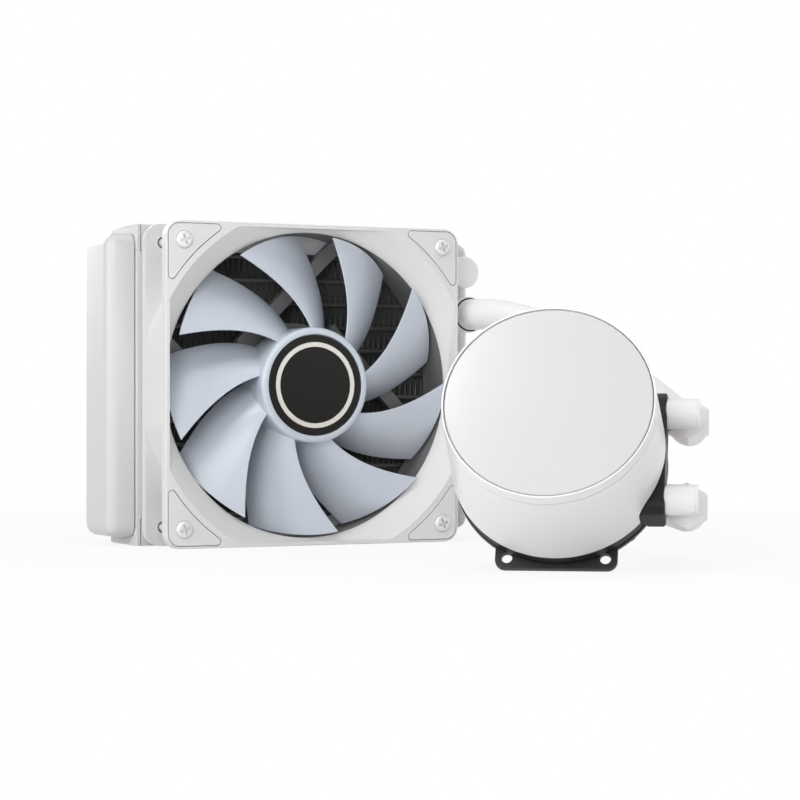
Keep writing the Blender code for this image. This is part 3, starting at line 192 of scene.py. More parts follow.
# Fan frame
FRAME_CORNER = 0.006
FRAME_SOFTENING = 0.0004
FLANGE = 0.004
THROAT = 0.057
DUCT_WALL = 0.0042
MOUTH_RADIUS = 0.0657
MOUTH_DEPTH = 0.0065
MOUTH_EDGE = 0.0015
MOUTH_TURN = 0.0012
HOLE_INSET = 0.007
HOLE_REACH = FAN_SIZE / 2 - HOLE_INSET
FAN_HOLE = 0.00225
STAY_WIDTH = 0.0052
STAY_DEPTH = 0.004
STAY_OFFSET = 0.0258
STAY_START = math.radians(44)
STAY_COUNT = 4
SEAT_RADIUS = 0.0236
SEAT_THICKNESS = 0.0035
BEARING_TUBE = 0.0051
BEARING_TUBE_BORE = 0.0037
BEARING_TUBE_FRONT = 0.008

# Corner pads and fan screws
CORNERS = {(-1, -1): "bottom_left", (-1, 1): "top_left",
           (1, -1): "bottom_right", (1, 1): "top_right"}
PAD_THICKNESS = 0.001
PAD_PROUD = 0.0002
PAD_RIM = 0.0011
PAD_TIP = 0.0013
PAD_CORNER = 0.0042
PAD_INNER = 0.0025
PAD_HOLE = 0.0033
PAD_SOFTENING = 0.0002
SCREW_HEAD = 0.0032
SCREW_HEAD_HEIGHT = 0.0021
SCREW_CROWN = 0.0021
SCREW_RADIUS = 0.00165
SCREW_END = 0.0275
SCREW_CROSS_WIDTH = 0.0009
SCREW_CROSS_REACH = 0.0019
SCREW_CROSS_DEPTH = 0.0010
SCREW_CROSS_TURN = 0.3

# Fan rotor, where edge, camber and fullness, and the hub lip's edge and crown, are shares
BLADE_COUNT = 9
BLADE_START = math.radians(1.14)
BLADE_CHORD = math.radians(31.5)
BLADE_SWEEP = math.radians(20)
BLADE_SWEEP_ROOT = math.radians(10)
BLADE_FRONT = 0.004
BLADE_DEPTH = 0.014
BLADE_CAMBER = 0.45
BLADE_THICKNESS = 0.0016
BLADE_EDGE = 0.3
BLADE_FULLNESS = 0.6
BLADE_STEPS_ACROSS = 24
BLADE_STEPS_ALONG = 26
BLADE_NUDGE = 0.001
ROTOR_RADIUS = 0.0558
HUB_RADIUS = 0.0215
HUB_WALL = 0.002
HUB_FRONT = 0.0005
HUB_BACK = 0.020
HUB_LIP = 0.0026
HUB_LIP_EDGE = 0.12
HUB_LIP_CROWN = 0.62
HUB_RECESS = 0.0014
HUB_WEB = 0.002
HUB_BOSS = 0.0045
HUB_BOSS_HEIGHT = 0.0028
SHAFT_HOLE = 0.0018
HUB_RING_OUTER = 0.016
HUB_RING_WIDTH = 0.0018
HUB_RING_HEIGHT = 0.0006
CAP_THICKNESS = 0.001

# Radiator
SIDE_WALL = 0.0012
SIDE_SOFTENING = 0.00045
HEADER_LIP = 0.0006
HEADER_LIP_DEPTH = 0.0009
REAR_HOLE = 0.00175
SCREW_HOLE = 0.00195
PLUG_STEM = 0.0027
PLUG_THICKNESS = 0.003
PLUG_EDGE = 0.0005
COLLAR_INNER = 0.0049
COLLAR_SLEEVE = 0.0065
COLLAR_RECESS = 0.0007
COLLAR_TURN = 0.0003
COLLAR_GROOVE = 0.0026

# Fins, where the bend is a share of the pitch
FIN_FOLD = 0.00115
FIN_THICKNESS = 0.00014
FIN_BEND = 0.22

# Floor and world
WORLD_LIGHT = 0.24
WORLD_TINT = (0.97, 0.98, 1.0, 1)
WHITE = (1, 1, 1, 1)
FLOOR_SIZE = 6
FLOOR_COLOUR = (0.86, 0.86, 0.86)
FLOOR_ROUGHNESS = 0.9
FLOOR_GLOSS = 0.1
FLOOR_GLOW = 0.86
FLOOR_FADE_START = 0.16
FLOOR_FADE_END = 0.42

# Lamps: name, place, target, width and power
SUBJECT = (0.0, -0.09, 0.06)
PUMP_FACE = (0.0, -0.22, 0.054)
LAMPS = (
    ("key", (-0.50, -0.62, 0.26), SUBJECT, 0.38, 1.8),
    ("card", (-0.47, -0.42, 0.80), PUMP_FACE, 0.22, 1.4),
    ("low", (0.10, -1.20, 0.06), SUBJECT, 0.5, 2.9),
    ("side", (-1.25, -0.25, 0.25), SUBJECT, 0.5, 4.4),
    ("top", (0.1, -0.15, 1.1), SUBJECT, 0.9, 3.6),
    ("right", (1.25, 0.10, 0.35), SUBJECT, 0.8, 3.2),
    ("rear", (-0.20, 1.35, 0.55), SUBJECT, 0.9, 7.0),
)

scene = bpy.context.scene
scene.view_settings.view_transform = "Standard"

fan_place = Matrix.Translation((0, FAN_FRONT, CENTRE_Z)) @ Matrix.Rotation(math.pi / 2, 4, "X")
pump_place = Matrix.Translation(PUMP_PLACE) @ Euler(PUMP_ANGLES).to_matrix().to_4x4()
turned_out = Matrix.Rotation(math.pi / 2, 4, "Y")


def elbow_place(sign):
    return (pump_place @ Matrix.Translation((ELBOW_CENTRE, sign * PORT_SPACING, -PORT_DEPTH))
            @ Matrix.Rotation(ELBOW_SWIVEL, 4, "X"))


def add_camera():
    data = bpy.data.cameras.new("camera")
    data.lens = CAMERA_LENS
    data.sensor_width = CAMERA_SENSOR
    data.clip_start = CAMERA_NEAR
    camera = bpy.data.objects.new("camera", data)
    camera.location = CAMERA_PLACE
    camera.rotation_euler = CAMERA_TURN
    scene.collection.objects.link(camera)
    scene.camera = camera


# Finishes

def surface(name, colour, roughness, metallic=0.0):
    """A plain material, with the nodes that its pattern is added to."""
    material = bpy.data.materials.new(name)
    material.use_nodes = True
    tree = material.node_tree
    shader = tree.nodes["Principled BSDF"]
    shader.inputs["Base Color"].default_value = (*colour, 1)
    shader.inputs["Roughness"].default_value = roughness
    shader.inputs["Metallic"].default_value = metallic
    material.diffuse_color = (*colour, 1)
    return material, tree, shader


def noise(tree, scale, detail=2, stretch=None):
    """A noise pattern on Object coordinates, finer along the axes that are stretched."""
    where = tree.nodes.new("ShaderNodeTexCoord").outputs["Object"]
    if stretch:
        mapping = tree.nodes.new("ShaderNodeMapping")
        mapping.inputs["Scale"].default_value = stretch
        tree.links.new(where, mapping.inputs["Vector"])
        where = mapping.outputs["Vector"]
    pattern = tree.nodes.new("ShaderNodeTexNoise")
    pattern.inputs["Scale"].default_value = scale
    pattern.inputs["Detail"].default_value = detail
    tree.links.new(where, pattern.inputs["Vector"])
    return pattern.outputs["Fac"]


def vary_colour(tree, shader, factor, colour, darkest, lightest):
    """Let a pattern's value run between a darker and a lighter tone of one colour."""
    mix = tree.nodes.new("ShaderNodeMix")
    mix.data_type = "RGBA"
    for socket, tone in (("A", darkest), ("B", lightest)):
        mix.inputs[socket].default_value = (*(min(1.0, channel * tone) for channel in colour), 1)
    tree.links.new(factor, mix.inputs["Factor"])
    tree.links.new(mix.outputs["Result"], shader.inputs["Base Color"])


def vary_roughness(tree, shader, factor, low, high):
    span = tree.nodes.new("ShaderNodeMapRange")
    span.inputs["To Min"].default_value = low
    span.inputs["To Max"].default_value = high
    tree.links.new(factor, span.inputs["Value"])
    tree.links.new(span.outputs["Result"], shader.inputs["Roughness"])


def add_bump(tree, shader, height, depth, strength=0.5):
    bump = tree.nodes.new("ShaderNodeBump")
    bump.inputs["Distance"].default_value = depth
    bump.inputs["Strength"].default_value = strength
    tree.links.new(height, bump.inputs["Height"])
    tree.links.new(bump.outputs["Normal"], shader.inputs["Normal"])


def moulded(name, colour, roughness=0.42, grain=3500, depth=0.00001, coat=0.0, gloss=0.5):
    """Moulded plastic: a fine grain that varies the gloss, and a slow drift of tone."""
    material, tree, shader = surface(name, colour, roughness)
    shader.inputs["Specular IOR Level"].default_value = gloss
    vary_colour(tree, shader, noise(tree, scale=28), colour, darkest=0.975, lightest=1.02)
    fine = noise(tree, grain)
    vary_roughness(tree, shader, fine, roughness - 0.06, roughness + 0.06)
    add_bump(tree, shader, fine, depth)
    shader.inputs["Coat Weight"].default_value = coat
    shader.inputs["Coat Roughness"].default_value = 0.12
    return material


def painted(name, colour, roughness=0.33):
    """Powder coat: a low orange peel over metal."""
    material, tree, shader = surface(name, colour, roughness)
    vary_colour(tree, shader, noise(tree, scale=22), colour, darkest=0.98, lightest=1.015)
    peel = noise(tree, scale=1400, detail=3)
    vary_roughness(tree, shader, peel, roughness - 0.05, roughness + 0.05)
    add_bump(tree, shader, peel, depth=0.000012, strength=0.6)
    return material


def metal(name, colour, roughness, metallic=1.0, scale=900, stretch=(1, 1, 12)):
    """Bare or coated metal with fine marks, drawn out along the axes stretched least."""
    material, tree, shader = surface(name, colour, roughness, metallic)
    marks = noise(tree, scale, detail=4, stretch=stretch)
    vary_colour(tree, shader, marks, colour, darkest=0.86, lightest=1.1)
    vary_roughness(tree, shader, marks, roughness - 0.08, roughness + 0.08)
    add_bump(tree, shader, marks, depth=0.000006)
    return material


def hose_skin(name, colour):
    """Smooth hose jacket with a faint cloudiness."""
    material, tree, shader = surface(name, colour, roughness=0.36)
    vary_colour(tree, shader, noise(tree, scale=60, detail=3), colour, darkest=0.97, lightest=1.02)
    fine = noise(tree, scale=2600)
    vary_roughness(tree, shader, fine, low=0.30, high=0.44)
    add_bump(tree, shader, fine, depth=0.00001)
    return material


def turned_copper(name, colour):
    """Machined copper: fine rings round the plate's own middle."""
    material, tree, shader = surface(name, colour, roughness=0.28, metallic=1.0)
    where = tree.nodes.new("ShaderNodeTexCoord")
    centring = tree.nodes.new("ShaderNodeMapping")
    centring.vector_type = "TEXTURE"
    centring.inputs["Location"].default_value = PUMP_PLACE
    centring.inputs["Rotation"].default_value = PUMP_ANGLES
    rings = tree.nodes.new("ShaderNodeTexWave")
    rings.wave_type = "RINGS"
    rings.rings_direction = "Z"
    rings.inputs["Scale"].default_value = 900
    rings.inputs["Distortion"].default_value = 0.6
    tree.links.new(where.outputs["Object"], centring.inputs["Vector"])
    tree.links.new(centring.outputs["Vector"], rings.inputs["Vector"])
    vary_colour(tree, shader, rings.outputs["Fac"], colour, darkest=0.88, lightest=1.08)
    add_bump(tree, shader, rings.outputs["Fac"], depth=0.00001)
    return material


finishes = {
    "frame": moulded("frame_white", (0.72, 0.72, 0.712)),
    # Painted shade: a dark grey for the inside of the fan's white duct, which lies deep in shade
    "duct": moulded("duct_painted_shade", (0.19, 0.19, 0.19), gloss=0.3),
    "paint": painted("radiator_white", (0.59, 0.595, 0.605)),
    "blade": moulded("blade_white", (0.60, 0.65, 0.73), 0.36, coat=0.15),
    "cap": moulded("hub_black", (0.010, 0.0098, 0.009), 0.5, gloss=0.2),
    "ring": moulded("hub_cream", (0.80, 0.77, 0.72), 0.4),
    "shell": moulded("pump_shell_white", (0.82, 0.82, 0.815), 0.36, coat=0.2),
    "face": moulded("pump_face_white", (0.58, 0.58, 0.58), 0.22, 5000, 0.000003, 1.0),
    "base": moulded("pump_base_black", (0.011, 0.0105, 0.0105), 0.48, gloss=0.25),
    "fitting": moulded("fitting_white", (0.88, 0.88, 0.875), 0.4),
    "hose": hose_skin("hose_white", (0.86, 0.86, 0.855)),
    "bracket": metal("bracket_black", (0.020, 0.019, 0.020), 0.42, 0.3, 1500, (1, 1, 1)),
    "screw": metal("screw_pale", (0.74, 0.74, 0.735), 0.36, 0.25, 1200, (1, 1, 1)),
    "fin": metal("fin_dark", (0.078, 0.083, 0.078), 0.5, 0.25, 700, (14, 1, 1)),
    "core": metal("core_dark", (0.105, 0.107, 0.101), 0.5, 0.25, 700, (1, 1, 6)),
    "steel": metal("bright_steel", (0.60, 0.60, 0.61), 0.25),
    "iron": metal("motor_iron", (0.25, 0.25, 0.26), 0.5, 0.9),
    "bronze": metal("bronze", (0.50, 0.33, 0.17), 0.4),
    "copper": turned_copper("cold_plate_copper", (0.72, 0.36, 0.22)),
    "board": moulded("board_green", (0.03, 0.16, 0.08), 0.45),
    # Black for the pump's chamber seal, also used as painted shade in the sleeves' recesses round the
    # hoses
    "seal": moulded("seal_black_and_recess_shade", (0.012, 0.012, 0.012), 0.7, gloss=0.2),
}

node_finish = {
    "fan_screw_": "screw", "radiator_core": "core", "corner_pad_": "frame",
    "side_plate_": "paint", "tank_": "paint", "fill_plug": "fitting", "port_collar_": "fitting",
    "hub_cap": "cap", "hub_ring": "ring", "fan_shaft": "steel", "rotor_yoke": "iron",
    "rotor_magnet": "iron", "fan_bearing": "bronze", "fan_stator": "iron", "fan_board": "board",
    "face_plate": "face", "pump_cover": "shell", "pump_housing": "base", "pump_board": "board",
    "pump_stator": "iron", "impeller": "fitting", "impeller_shaft": "steel",
    "chamber_plate": "fitting", "chamber_seal": "seal", "cold_plate": "copper",
    "bracket": "bracket", "bracket_screw_": "bracket", "elbow_": "fitting",
    "fan_frame": "frame", "fan_rotor": "blade", "fin_": "fin",
}
node_body = {node: body for body, nodes in frame["record"]["behaviour"]["bodies"].items()
             for node in nodes}
replaced = set()


def finish_of(node):
    stem = max((key for key in node_finish if node.startswith(key)), key=len)
    return finishes[node_finish[stem]]


# Making and placing pieces

def keep(name, mesh, node, sharp=SHARP):
    """Make a mesh a piece that stands for a node of the model."""
    for face in mesh.polygons:
        face.use_smooth = True
    mesh.set_sharp_from_angle(angle=sharp)
    thing = bpy.data.objects.new(name, mesh)
    scene.collection.objects.link(thing)
    thing.data.materials.clear()
    thing.data.materials.append(finish_of(node))
    even = thing.modifiers.new("even_shading", "WEIGHTED_NORMAL")
    even.keep_sharp = True
    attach(thing, node_body[node])
    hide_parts(node)
    replaced.add(node)
    return thing


def placed(bm, matrix):
    bmesh.ops.transform(bm, matrix=matrix, verts=bm.verts)
    return bm


def finish_bmesh(name, bm, node, placing=Matrix(), sharp=SHARP):
    mesh = bpy.data.meshes.new(name)
    placed(bm, placing).to_mesh(mesh)
    bm.free()
    return keep(name, mesh, node, sharp)


def welded(node):
    """A copy of a node's mesh, with its loose triangles joined into whole faces."""
    bm = bmesh.new()
    bm.from_mesh(frame["nodes"][node].data)
    bmesh.ops.remove_doubles(bm, verts=bm.verts, dist=WELD)
    bmesh.ops.dissolve_limit(bm, angle_limit=FLAT, verts=bm.verts, edges=bm.edges)
    return bm


def spun(profile, steps=ROUND_SKIN):
    """Spin a profile of (radius, height) points about Z into a closed skin."""
    bm = bmesh.new()
    verts = [bm.verts.new((radius, 0, height)) for radius, height in profile]
    edges = [bm.edges.new(pair) for pair in zip(verts, verts[1:])]
    if profile[0][0] > 0 or profile[-1][0] > 0:
        edges.append(bm.edges.new((verts[-1], verts[0])))
    bmesh.ops.spin(bm, geom=verts + edges, axis=(0, 0, 1), cent=(0, 0, 0), angle=math.tau,
                   steps=steps, use_merge=True)
    bmesh.ops.remove_doubles(bm, verts=bm.verts, dist=WELD)
    bmesh.ops.recalc_face_normals(bm, faces=bm.faces)
    return bm


def arc(centre, radius, start, end, steps):
    angles = (start + (end - start) * i / steps for i in range(steps + 1))
    return [(centre[0] + radius * math.cos(a), centre[1] + radius * math.sin(a)) for a in angles]


def blank_of(bm):
    """An unplaced object that lives until it is cut into another or becomes a piece."""
    mesh = bpy.data.meshes.new("blank")
    bm.to_mesh(mesh)
    bm.free()
    blank = bpy.data.objects.new("blank", mesh)
    scene.collection.objects.link(blank)
    return blank


def worked(target, operation, tools):
    """Cut, join or clip a blank with others, which are used up. Each may still be a bmesh."""
    target, *tools = (blank_of(item) if isinstance(item, bmesh.types.BMesh) else item
                      for item in (target, *tools))
    for tool in tools:
        step = target.modifiers.new(operation.lower(), "BOOLEAN")
        step.operation = operation
        step.solver = "EXACT"
        step.object = tool
    bpy.context.view_layer.update()
    result = target.evaluated_get(bpy.context.evaluated_depsgraph_get())
    mesh = bpy.data.meshes.new_from_object(result)
    for spent in (target, *tools):
        bpy.data.objects.remove(spent, do_unlink=True)
    fresh = bpy.data.objects.new("blank", mesh)
    scene.collection.objects.link(fresh)
    return fresh


def piece_from(name, blank, node, placing, sharp=SHARP):
    mesh = blank.data
    bpy.data.objects.remove(blank, do_unlink=True)
    mesh.transform(placing)
    return keep(name, mesh, node, sharp)


def round_cornered(half_x, half_y, corner, steps=10):
    """Outline of a rectangle round the origin with round corners."""
    points = []
    for quarter, (sign_x, sign_y) in enumerate(((1, 1), (-1, 1), (-1, -1), (1, -1))):
        centre = (sign_x * (half_x - corner), sign_y * (half_y - corner))
        start = quarter * math.pi / 2
        points += arc(centre, corner, start, start + math.pi / 2, steps)
    return points


def new_verts(extruded):
    return [item for item in extruded["geom"] if isinstance(item, bmesh.types.BMVert)]


def slab(outline, low, high):
    """A flat outline raised between two heights."""
    bm = bmesh.new()
    base = bm.faces.new([bm.verts.new((x, y, low)) for x, y in outline])
    lifted = bmesh.ops.extrude_face_region(bm, geom=[base])
    bmesh.ops.translate(bm, vec=(0, 0, high - low), verts=new_verts(lifted))
    bmesh.ops.recalc_face_normals(bm, faces=bm.faces)
    return bm


def rod(radius, low, high, place=(0, 0), steps=ROUND_ROD):
    """A round bar along Z."""
    bm = bmesh.new()
    middle = Matrix.Translation((*place, (low + high) / 2))
    bmesh.ops.create_cone(bm, cap_ends=True, segments=steps, radius1=radius, radius2=radius,
                          depth=high - low, matrix=middle)
    return bm


def block(low, high, turn=0.0):
    """A box between two corners, turned about Z."""
    bm = bmesh.new()
    size = Vector(high) - Vector(low)
    middle = (Vector(high) + Vector(low)) / 2
    bmesh.ops.create_cube(bm, size=1, matrix=Matrix.Rotation(turn, 4, "Z")
                          @ Matrix.Translation(middle) @ Matrix.Diagonal((*size, 1)))
    return bm


def soften(bm, edges, width, steps=3):
    bmesh.ops.bevel(bm, geom=edges, offset=width, segments=steps, profile=0.5, affect="EDGES",
                    material=-1)


def level_edges(bm, *heights):
    """Edges that lie at one of the given heights, those of the first height first."""
    return [edge for height in heights for edge in bm.edges
            if all(abs(vert.co.z - height) < NEAR for vert in edge.verts)]


# Hoses

def smooth_route(points, first_way, last_way, step):
    """Points at about the given spacing along one smooth curve through the given points.

    The curve leaves along first_way and arrives along last_way, both of length 1.
    """
    knots = [Vector(point) for point in points]
    last = len(knots) - 1
    ways = [(knots[i + 1] - knots[i - 1]) / 2 for i in range(1, last)]
    ways.insert(0, Vector(first_way) * (knots[1] - knots[0]).length)
    ways.append(Vector(last_way) * (knots[last] - knots[last - 1]).length)
    route = [knots[0]]
    for i in range(last):
        here = knots[i]
        there = knots[i + 1]
        pieces = max(1, round((there - here).length / step))
        for k in range(1, pieces + 1):
            t = k / pieces
            route.append(here * (2 * t ** 3 - 3 * t ** 2 + 1) + ways[i] * (t ** 3 - 2 * t ** 2 + t)
                         + there * (3 * t ** 2 - 2 * t ** 3) + ways[i + 1] * (t ** 3 - t ** 2))
    return route


def lay_hose(side, sign, middle):
    """One hose, from the face of its collar to the face of its elbow's socket."""
    start = Vector((PORT_X, COLLAR_FRONT - SEAM, CENTRE_Z + sign * PORT_RISE))
    elbow = elbow_place(sign)
    end = elbow @ Vector((0, 0, -SOCKET_END - SEAM))
    into_elbow = elbow.to_3x3() @ Vector((0, 0, 1))
    from_collar = Vector((0, -1, 0))
    first = start + from_collar * HOSE_LEAD
    last = end - into_elbow * HOSE_LEAD
    route = [start, *smooth_route([first, *middle, last], from_collar, into_elbow, HOSE_STEP), end]
    curve = bpy.data.curves.new("hose_jacket_" + side, "CURVE")
    curve.dimensions = "3D"
    curve.bevel_depth = HOSE_RADIUS
    curve.bevel_resolution = HOSE_ROUNDNESS
    curve.use_fill_caps = True
    spline = curve.splines.new("POLY")
    spline.points.add(len(route) - 1)
    for point, place in zip(spline.points, route):
        point.co = (*place, 1)
    spline.use_smooth = True
    hose = bpy.data.objects.new("hose_jacket_" + side, curve)
    scene.collection.objects.link(hose)
    curve.materials.append(finishes["hose"])
    node = "hose_" + side
    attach(hose, node_body[node])
    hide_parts(node)
    replaced.add(node)


# Fan

def blade_point(tip_angle, chord, along):
    """A point on a blade's middle sheet, whose chord and length both run from 0 to 1."""
    root = HUB_RADIUS - HUB_WALL / 2
    radius = root + (ROTOR_RADIUS - root) * along
    inward = (ROTOR_RADIUS - radius) / (ROTOR_RADIUS - HUB_RADIUS)
    sweep = BLADE_SWEEP * inward + BLADE_SWEEP_ROOT * inward ** 2
    angle = tip_angle - sweep - BLADE_CHORD * chord
    drop = (1 - BLADE_CAMBER) * chord + BLADE_CAMBER * chord ** 2
    return Vector((radius * math.cos(angle), radius * math.sin(angle),
                   -BLADE_FRONT - BLADE_DEPTH * drop))


def make_blade(tip_angle):
    """One blade: a bent and swept sheet, full in the middle and thin along both edges."""
    bm = bmesh.new()
    bmesh.ops.create_grid(bm, x_segments=BLADE_STEPS_ACROSS, y_segments=BLADE_STEPS_ALONG,
                          size=0.5)
    lifted = bmesh.ops.extrude_face_region(bm, geom=bm.faces[:])
    bmesh.ops.translate(bm, vec=(0, 0, 1), verts=new_verts(lifted))
    for vert in bm.verts:
        chord = vert.co.x + 0.5
        along = vert.co.y + 0.5
        side = vert.co.z - 0.5
        here = blade_point(tip_angle, chord, along)
        across = blade_point(tip_angle, chord + BLADE_NUDGE, along) - here
        outward = blade_point(tip_angle, chord, along + BLADE_NUDGE) - here
        fullness = BLADE_EDGE + (1 - BLADE_EDGE) * math.sin(math.pi * chord) ** BLADE_FULLNESS
        vert.co = here + outward.cross(across).normalized() * side * BLADE_THICKNESS * fullness
    bmesh.ops.recalc_face_normals(bm, faces=bm.faces)
    return bm


def make_rotor():
    """Hub and blades in one moulding."""
    lip = HUB_RADIUS - HUB_LIP
    inner = HUB_RADIUS - HUB_WALL
    recess = HUB_FRONT + HUB_RECESS
    floor = recess + HUB_WEB
    edge = HUB_LIP * HUB_LIP_EDGE
    crown = HUB_LIP * HUB_LIP_CROWN
    boss_end = -floor - HUB_BOSS_HEIGHT
    profile = [(0, -recess), (lip, -recess), (lip, -HUB_FRONT - edge)]
    profile += arc((lip + edge, -HUB_FRONT - edge), edge, math.pi, math.pi / 2, steps=4)[1:]
    profile += arc((HUB_RADIUS - crown, -HUB_FRONT - crown), crown, math.pi / 2, 0, steps=10)
    profile += [(HUB_RADIUS, -HUB_BACK), (inner, -HUB_BACK), (inner, -floor), (HUB_BOSS, -floor),
                (HUB_BOSS, boss_end), (SHAFT_HOLE, boss_end), (SHAFT_HOLE, -recess - HUB_WEB / 2),
                (0, -recess - HUB_WEB / 2)]
    blades = [make_blade(BLADE_START + i * math.tau / BLADE_COUNT) for i in range(BLADE_COUNT)]
    rotor = worked(spun(profile), "UNION", blades)
    piece_from("rotor_moulding", rotor, "fan_rotor", fan_place, SHARP_ROTOR)


def pad_outline(sign_x, sign_y, grow=0.0):
    """A corner pad: straight outer edges and a hollow edge along the mouth."""
    edge = FAN_SIZE / 2 - PAD_RIM + grow
    inner = MOUTH_RADIUS + PAD_INNER - grow
    tip = PAD_TIP + grow
    corner = PAD_CORNER + grow
    tip_x = edge - tip
    tip_y = math.sqrt((inner + tip) ** 2 - tip_x ** 2)
    lower = arc((tip_x, tip_y), tip, math.atan2(-tip_y, -tip_x), 0, steps=8)
    outer = arc((edge - corner, edge - corner), corner, 0, math.pi / 2, steps=8)
    upper = [(y, x) for x, y in reversed(lower)]
    hollow = arc((0, 0), inner, math.atan2(tip_x, tip_y), math.atan2(tip_y, tip_x), steps=20)
    points = [(sign_x * x, sign_y * y) for x, y in lower + outer + upper + hollow[1:-1]]
    return points if sign_x * sign_y > 0 else points[::-1]


def mouth_cutter():
    """What is cut out for the air: a cone clipped to a square, and the round throat behind it."""
    slope = (MOUTH_RADIUS - THROAT) / MOUTH_DEPTH
    end = -FAN_DEPTH - OVERRUN
    cone = spun([(0, OVERRUN), (MOUTH_RADIUS + slope * OVERRUN, OVERRUN),
                 (THROAT + slope * MOUTH_TURN, MOUTH_TURN - MOUTH_DEPTH),
                 (THROAT + slope * MOUTH_TURN / 4, -MOUTH_DEPTH - MOUTH_TURN / 4),
                 (THROAT, -MOUTH_DEPTH - MOUTH_TURN), (THROAT, end), (0, end)])
    clip = FAN_SIZE / 2 - MOUTH_EDGE
    return worked(cone, "INTERSECT", [block((-clip, -clip, -2 * FAN_DEPTH), (clip, clip, FAN_DEPTH))])


def make_frame():
    """The fan's frame in one moulding, white outside; its duct wall, stays and seat are grey as painted
    shade.
    """
    half = FAN_SIZE / 2
    back = -FAN_DEPTH
    body = slab(round_cornered(half, half, FRAME_CORNER), back, 0)
    soften(body, level_edges(body, 0, back), FRAME_SOFTENING)
    duct_outer = THROAT + DUCT_WALL
    pocket = spun([(duct_outer, -FLANGE), (FAN_SIZE, -FLANGE), (FAN_SIZE, back + FLANGE),
                   (duct_outer, back + FLANGE)])
    frame_body = worked(body, "DIFFERENCE", [pocket, mouth_cutter()])
    edge = STAY_OFFSET + STAY_WIDTH / 2
    reach = math.sqrt((duct_outer - DUCT_WALL / 4) ** 2 - edge ** 2)
    stays = [block((-STAY_WIDTH, STAY_OFFSET - STAY_WIDTH / 2, back), (reach, edge, back + STAY_DEPTH),
                   STAY_START + i * math.tau / STAY_COUNT) for i in range(STAY_COUNT)]
    seat = rod(SEAT_RADIUS, back, back + SEAT_THICKNESS, steps=ROUND_FITTING)
    tube = rod(BEARING_TUBE, back + OVERRUN, -BEARING_TUBE_FRONT)
    frame_body = worked(frame_body, "UNION", [*stays, seat, tube])
    bore = rod(BEARING_TUBE_BORE, back + SEAT_THICKNESS, OVERRUN - BEARING_TUBE_FRONT)
    holes = [rod(FAN_HOLE, back - OVERRUN, OVERRUN, (sx * HOLE_REACH, sy * HOLE_REACH), ROUND_SMALL)
             for sx, sy in CORNERS]
    floor = -PAD_THICKNESS + PAD_PROUD - SEAM
    seats = [slab(pad_outline(sx, sy, SEAM), floor, OVERRUN) for sx, sy in CORNERS]
    frame_body = worked(frame_body, "DIFFERENCE", [bore, *holes, *seats])
    moulding = piece_from("frame_moulding", frame_body, "fan_frame", fan_place, SHARP_FINE)
    # Painted shade: faces inside the duct, stays and seat included, take the dark grey instead of the
    # frame's white
    moulding.data.materials.append(finishes["duct"])
    to_fan = fan_place.inverted()
    duct_start = -MOUTH_DEPTH - MOUTH_TURN
    for face in moulding.data.polygons:
        middle = to_fan @ face.center
        inside = math.hypot(middle.x, middle.y) < THROAT + NEAR
        face.material_index = int(inside and middle.z < duct_start)


def make_pads():
    """Corner pads, each with a soft front edge and its screw hole."""
    for (sx, sy), corner in CORNERS.items():
        bm = slab(pad_outline(sx, sy), PAD_PROUD - PAD_THICKNESS, PAD_PROUD)
        soften(bm, level_edges(bm, PAD_PROUD), PAD_SOFTENING, steps=2)
        hole = rod(PAD_HOLE, -FAN_DEPTH, OVERRUN, (sx * HOLE_REACH, sy * HOLE_REACH))
        pad = worked(bm, "DIFFERENCE", [hole])
        piece_from("pad_" + corner, pad, "corner_pad_" + corner, fan_place)


def cross_slots(reach, width, low, high, turn):
    """The two slots of a cross recess, to be cut into a screw's head."""
    return [block((-reach, -width / 2, low), (reach, width / 2, high), angle)
            for angle in (turn, turn + math.pi / 2)]


def make_fan_screws():
    """Low pan heads with a cross recess, on shanks that reach the radiator."""
    seat = PAD_PROUD - PAD_THICKNESS
    top = seat + SCREW_HEAD_HEIGHT
    edge = SCREW_HEAD - SCREW_CROWN
    profile = [(0, top), *arc((SCREW_CROWN, top - edge), edge, math.pi / 2, 0, steps=8),
               (SCREW_HEAD, seat), (SCREW_RADIUS, seat), (SCREW_RADIUS, SCREW_RADIUS / 2 - SCREW_END),
               (SCREW_RADIUS / 2, -SCREW_END), (0, -SCREW_END)]
    for (sx, sy), corner in CORNERS.items():
        place = Matrix.Translation((sx * HOLE_REACH, sy * HOLE_REACH, 0))
        slots = cross_slots(SCREW_CROSS_REACH, SCREW_CROSS_WIDTH, top - SCREW_CROSS_DEPTH, OVERRUN,
                            SCREW_CROSS_TURN)
        screw = worked(spun(profile, ROUND_ROD), "DIFFERENCE", slots)
        piece_from("screw_" + corner, screw, "fan_screw_" + corner, fan_place @ place)


def make_hub_face():
    """Black disc with a round groove, and the pale ring that lies in it."""
    back = SEAM - HUB_FRONT - HUB_RECESS
    front = back + CAP_THICKNESS
    floor = front - HUB_RING_HEIGHT
    edge = HUB_RADIUS - HUB_LIP - SEAM
    inner = HUB_RING_OUTER - HUB_RING_WIDTH
    play = SEAM / 2
    cap = spun([(0, front), (inner - play, front), (inner - play, floor), (HUB_RING_OUTER + play, floor),
                (HUB_RING_OUTER + play, front), (edge - SEAM, front), (edge, front - SEAM), (edge, back),
                (0, back)])
    finish_bmesh("hub_disc", cap, "hub_cap", fan_place)
    ring = spun([(inner, front - play), (inner + play, front), (HUB_RING_OUTER - play, front),
                 (HUB_RING_OUTER, front - play), (HUB_RING_OUTER, floor + play), (inner, floor + play)])
    finish_bmesh("hub_pale_ring", ring, "hub_ring", fan_place)


# Pump

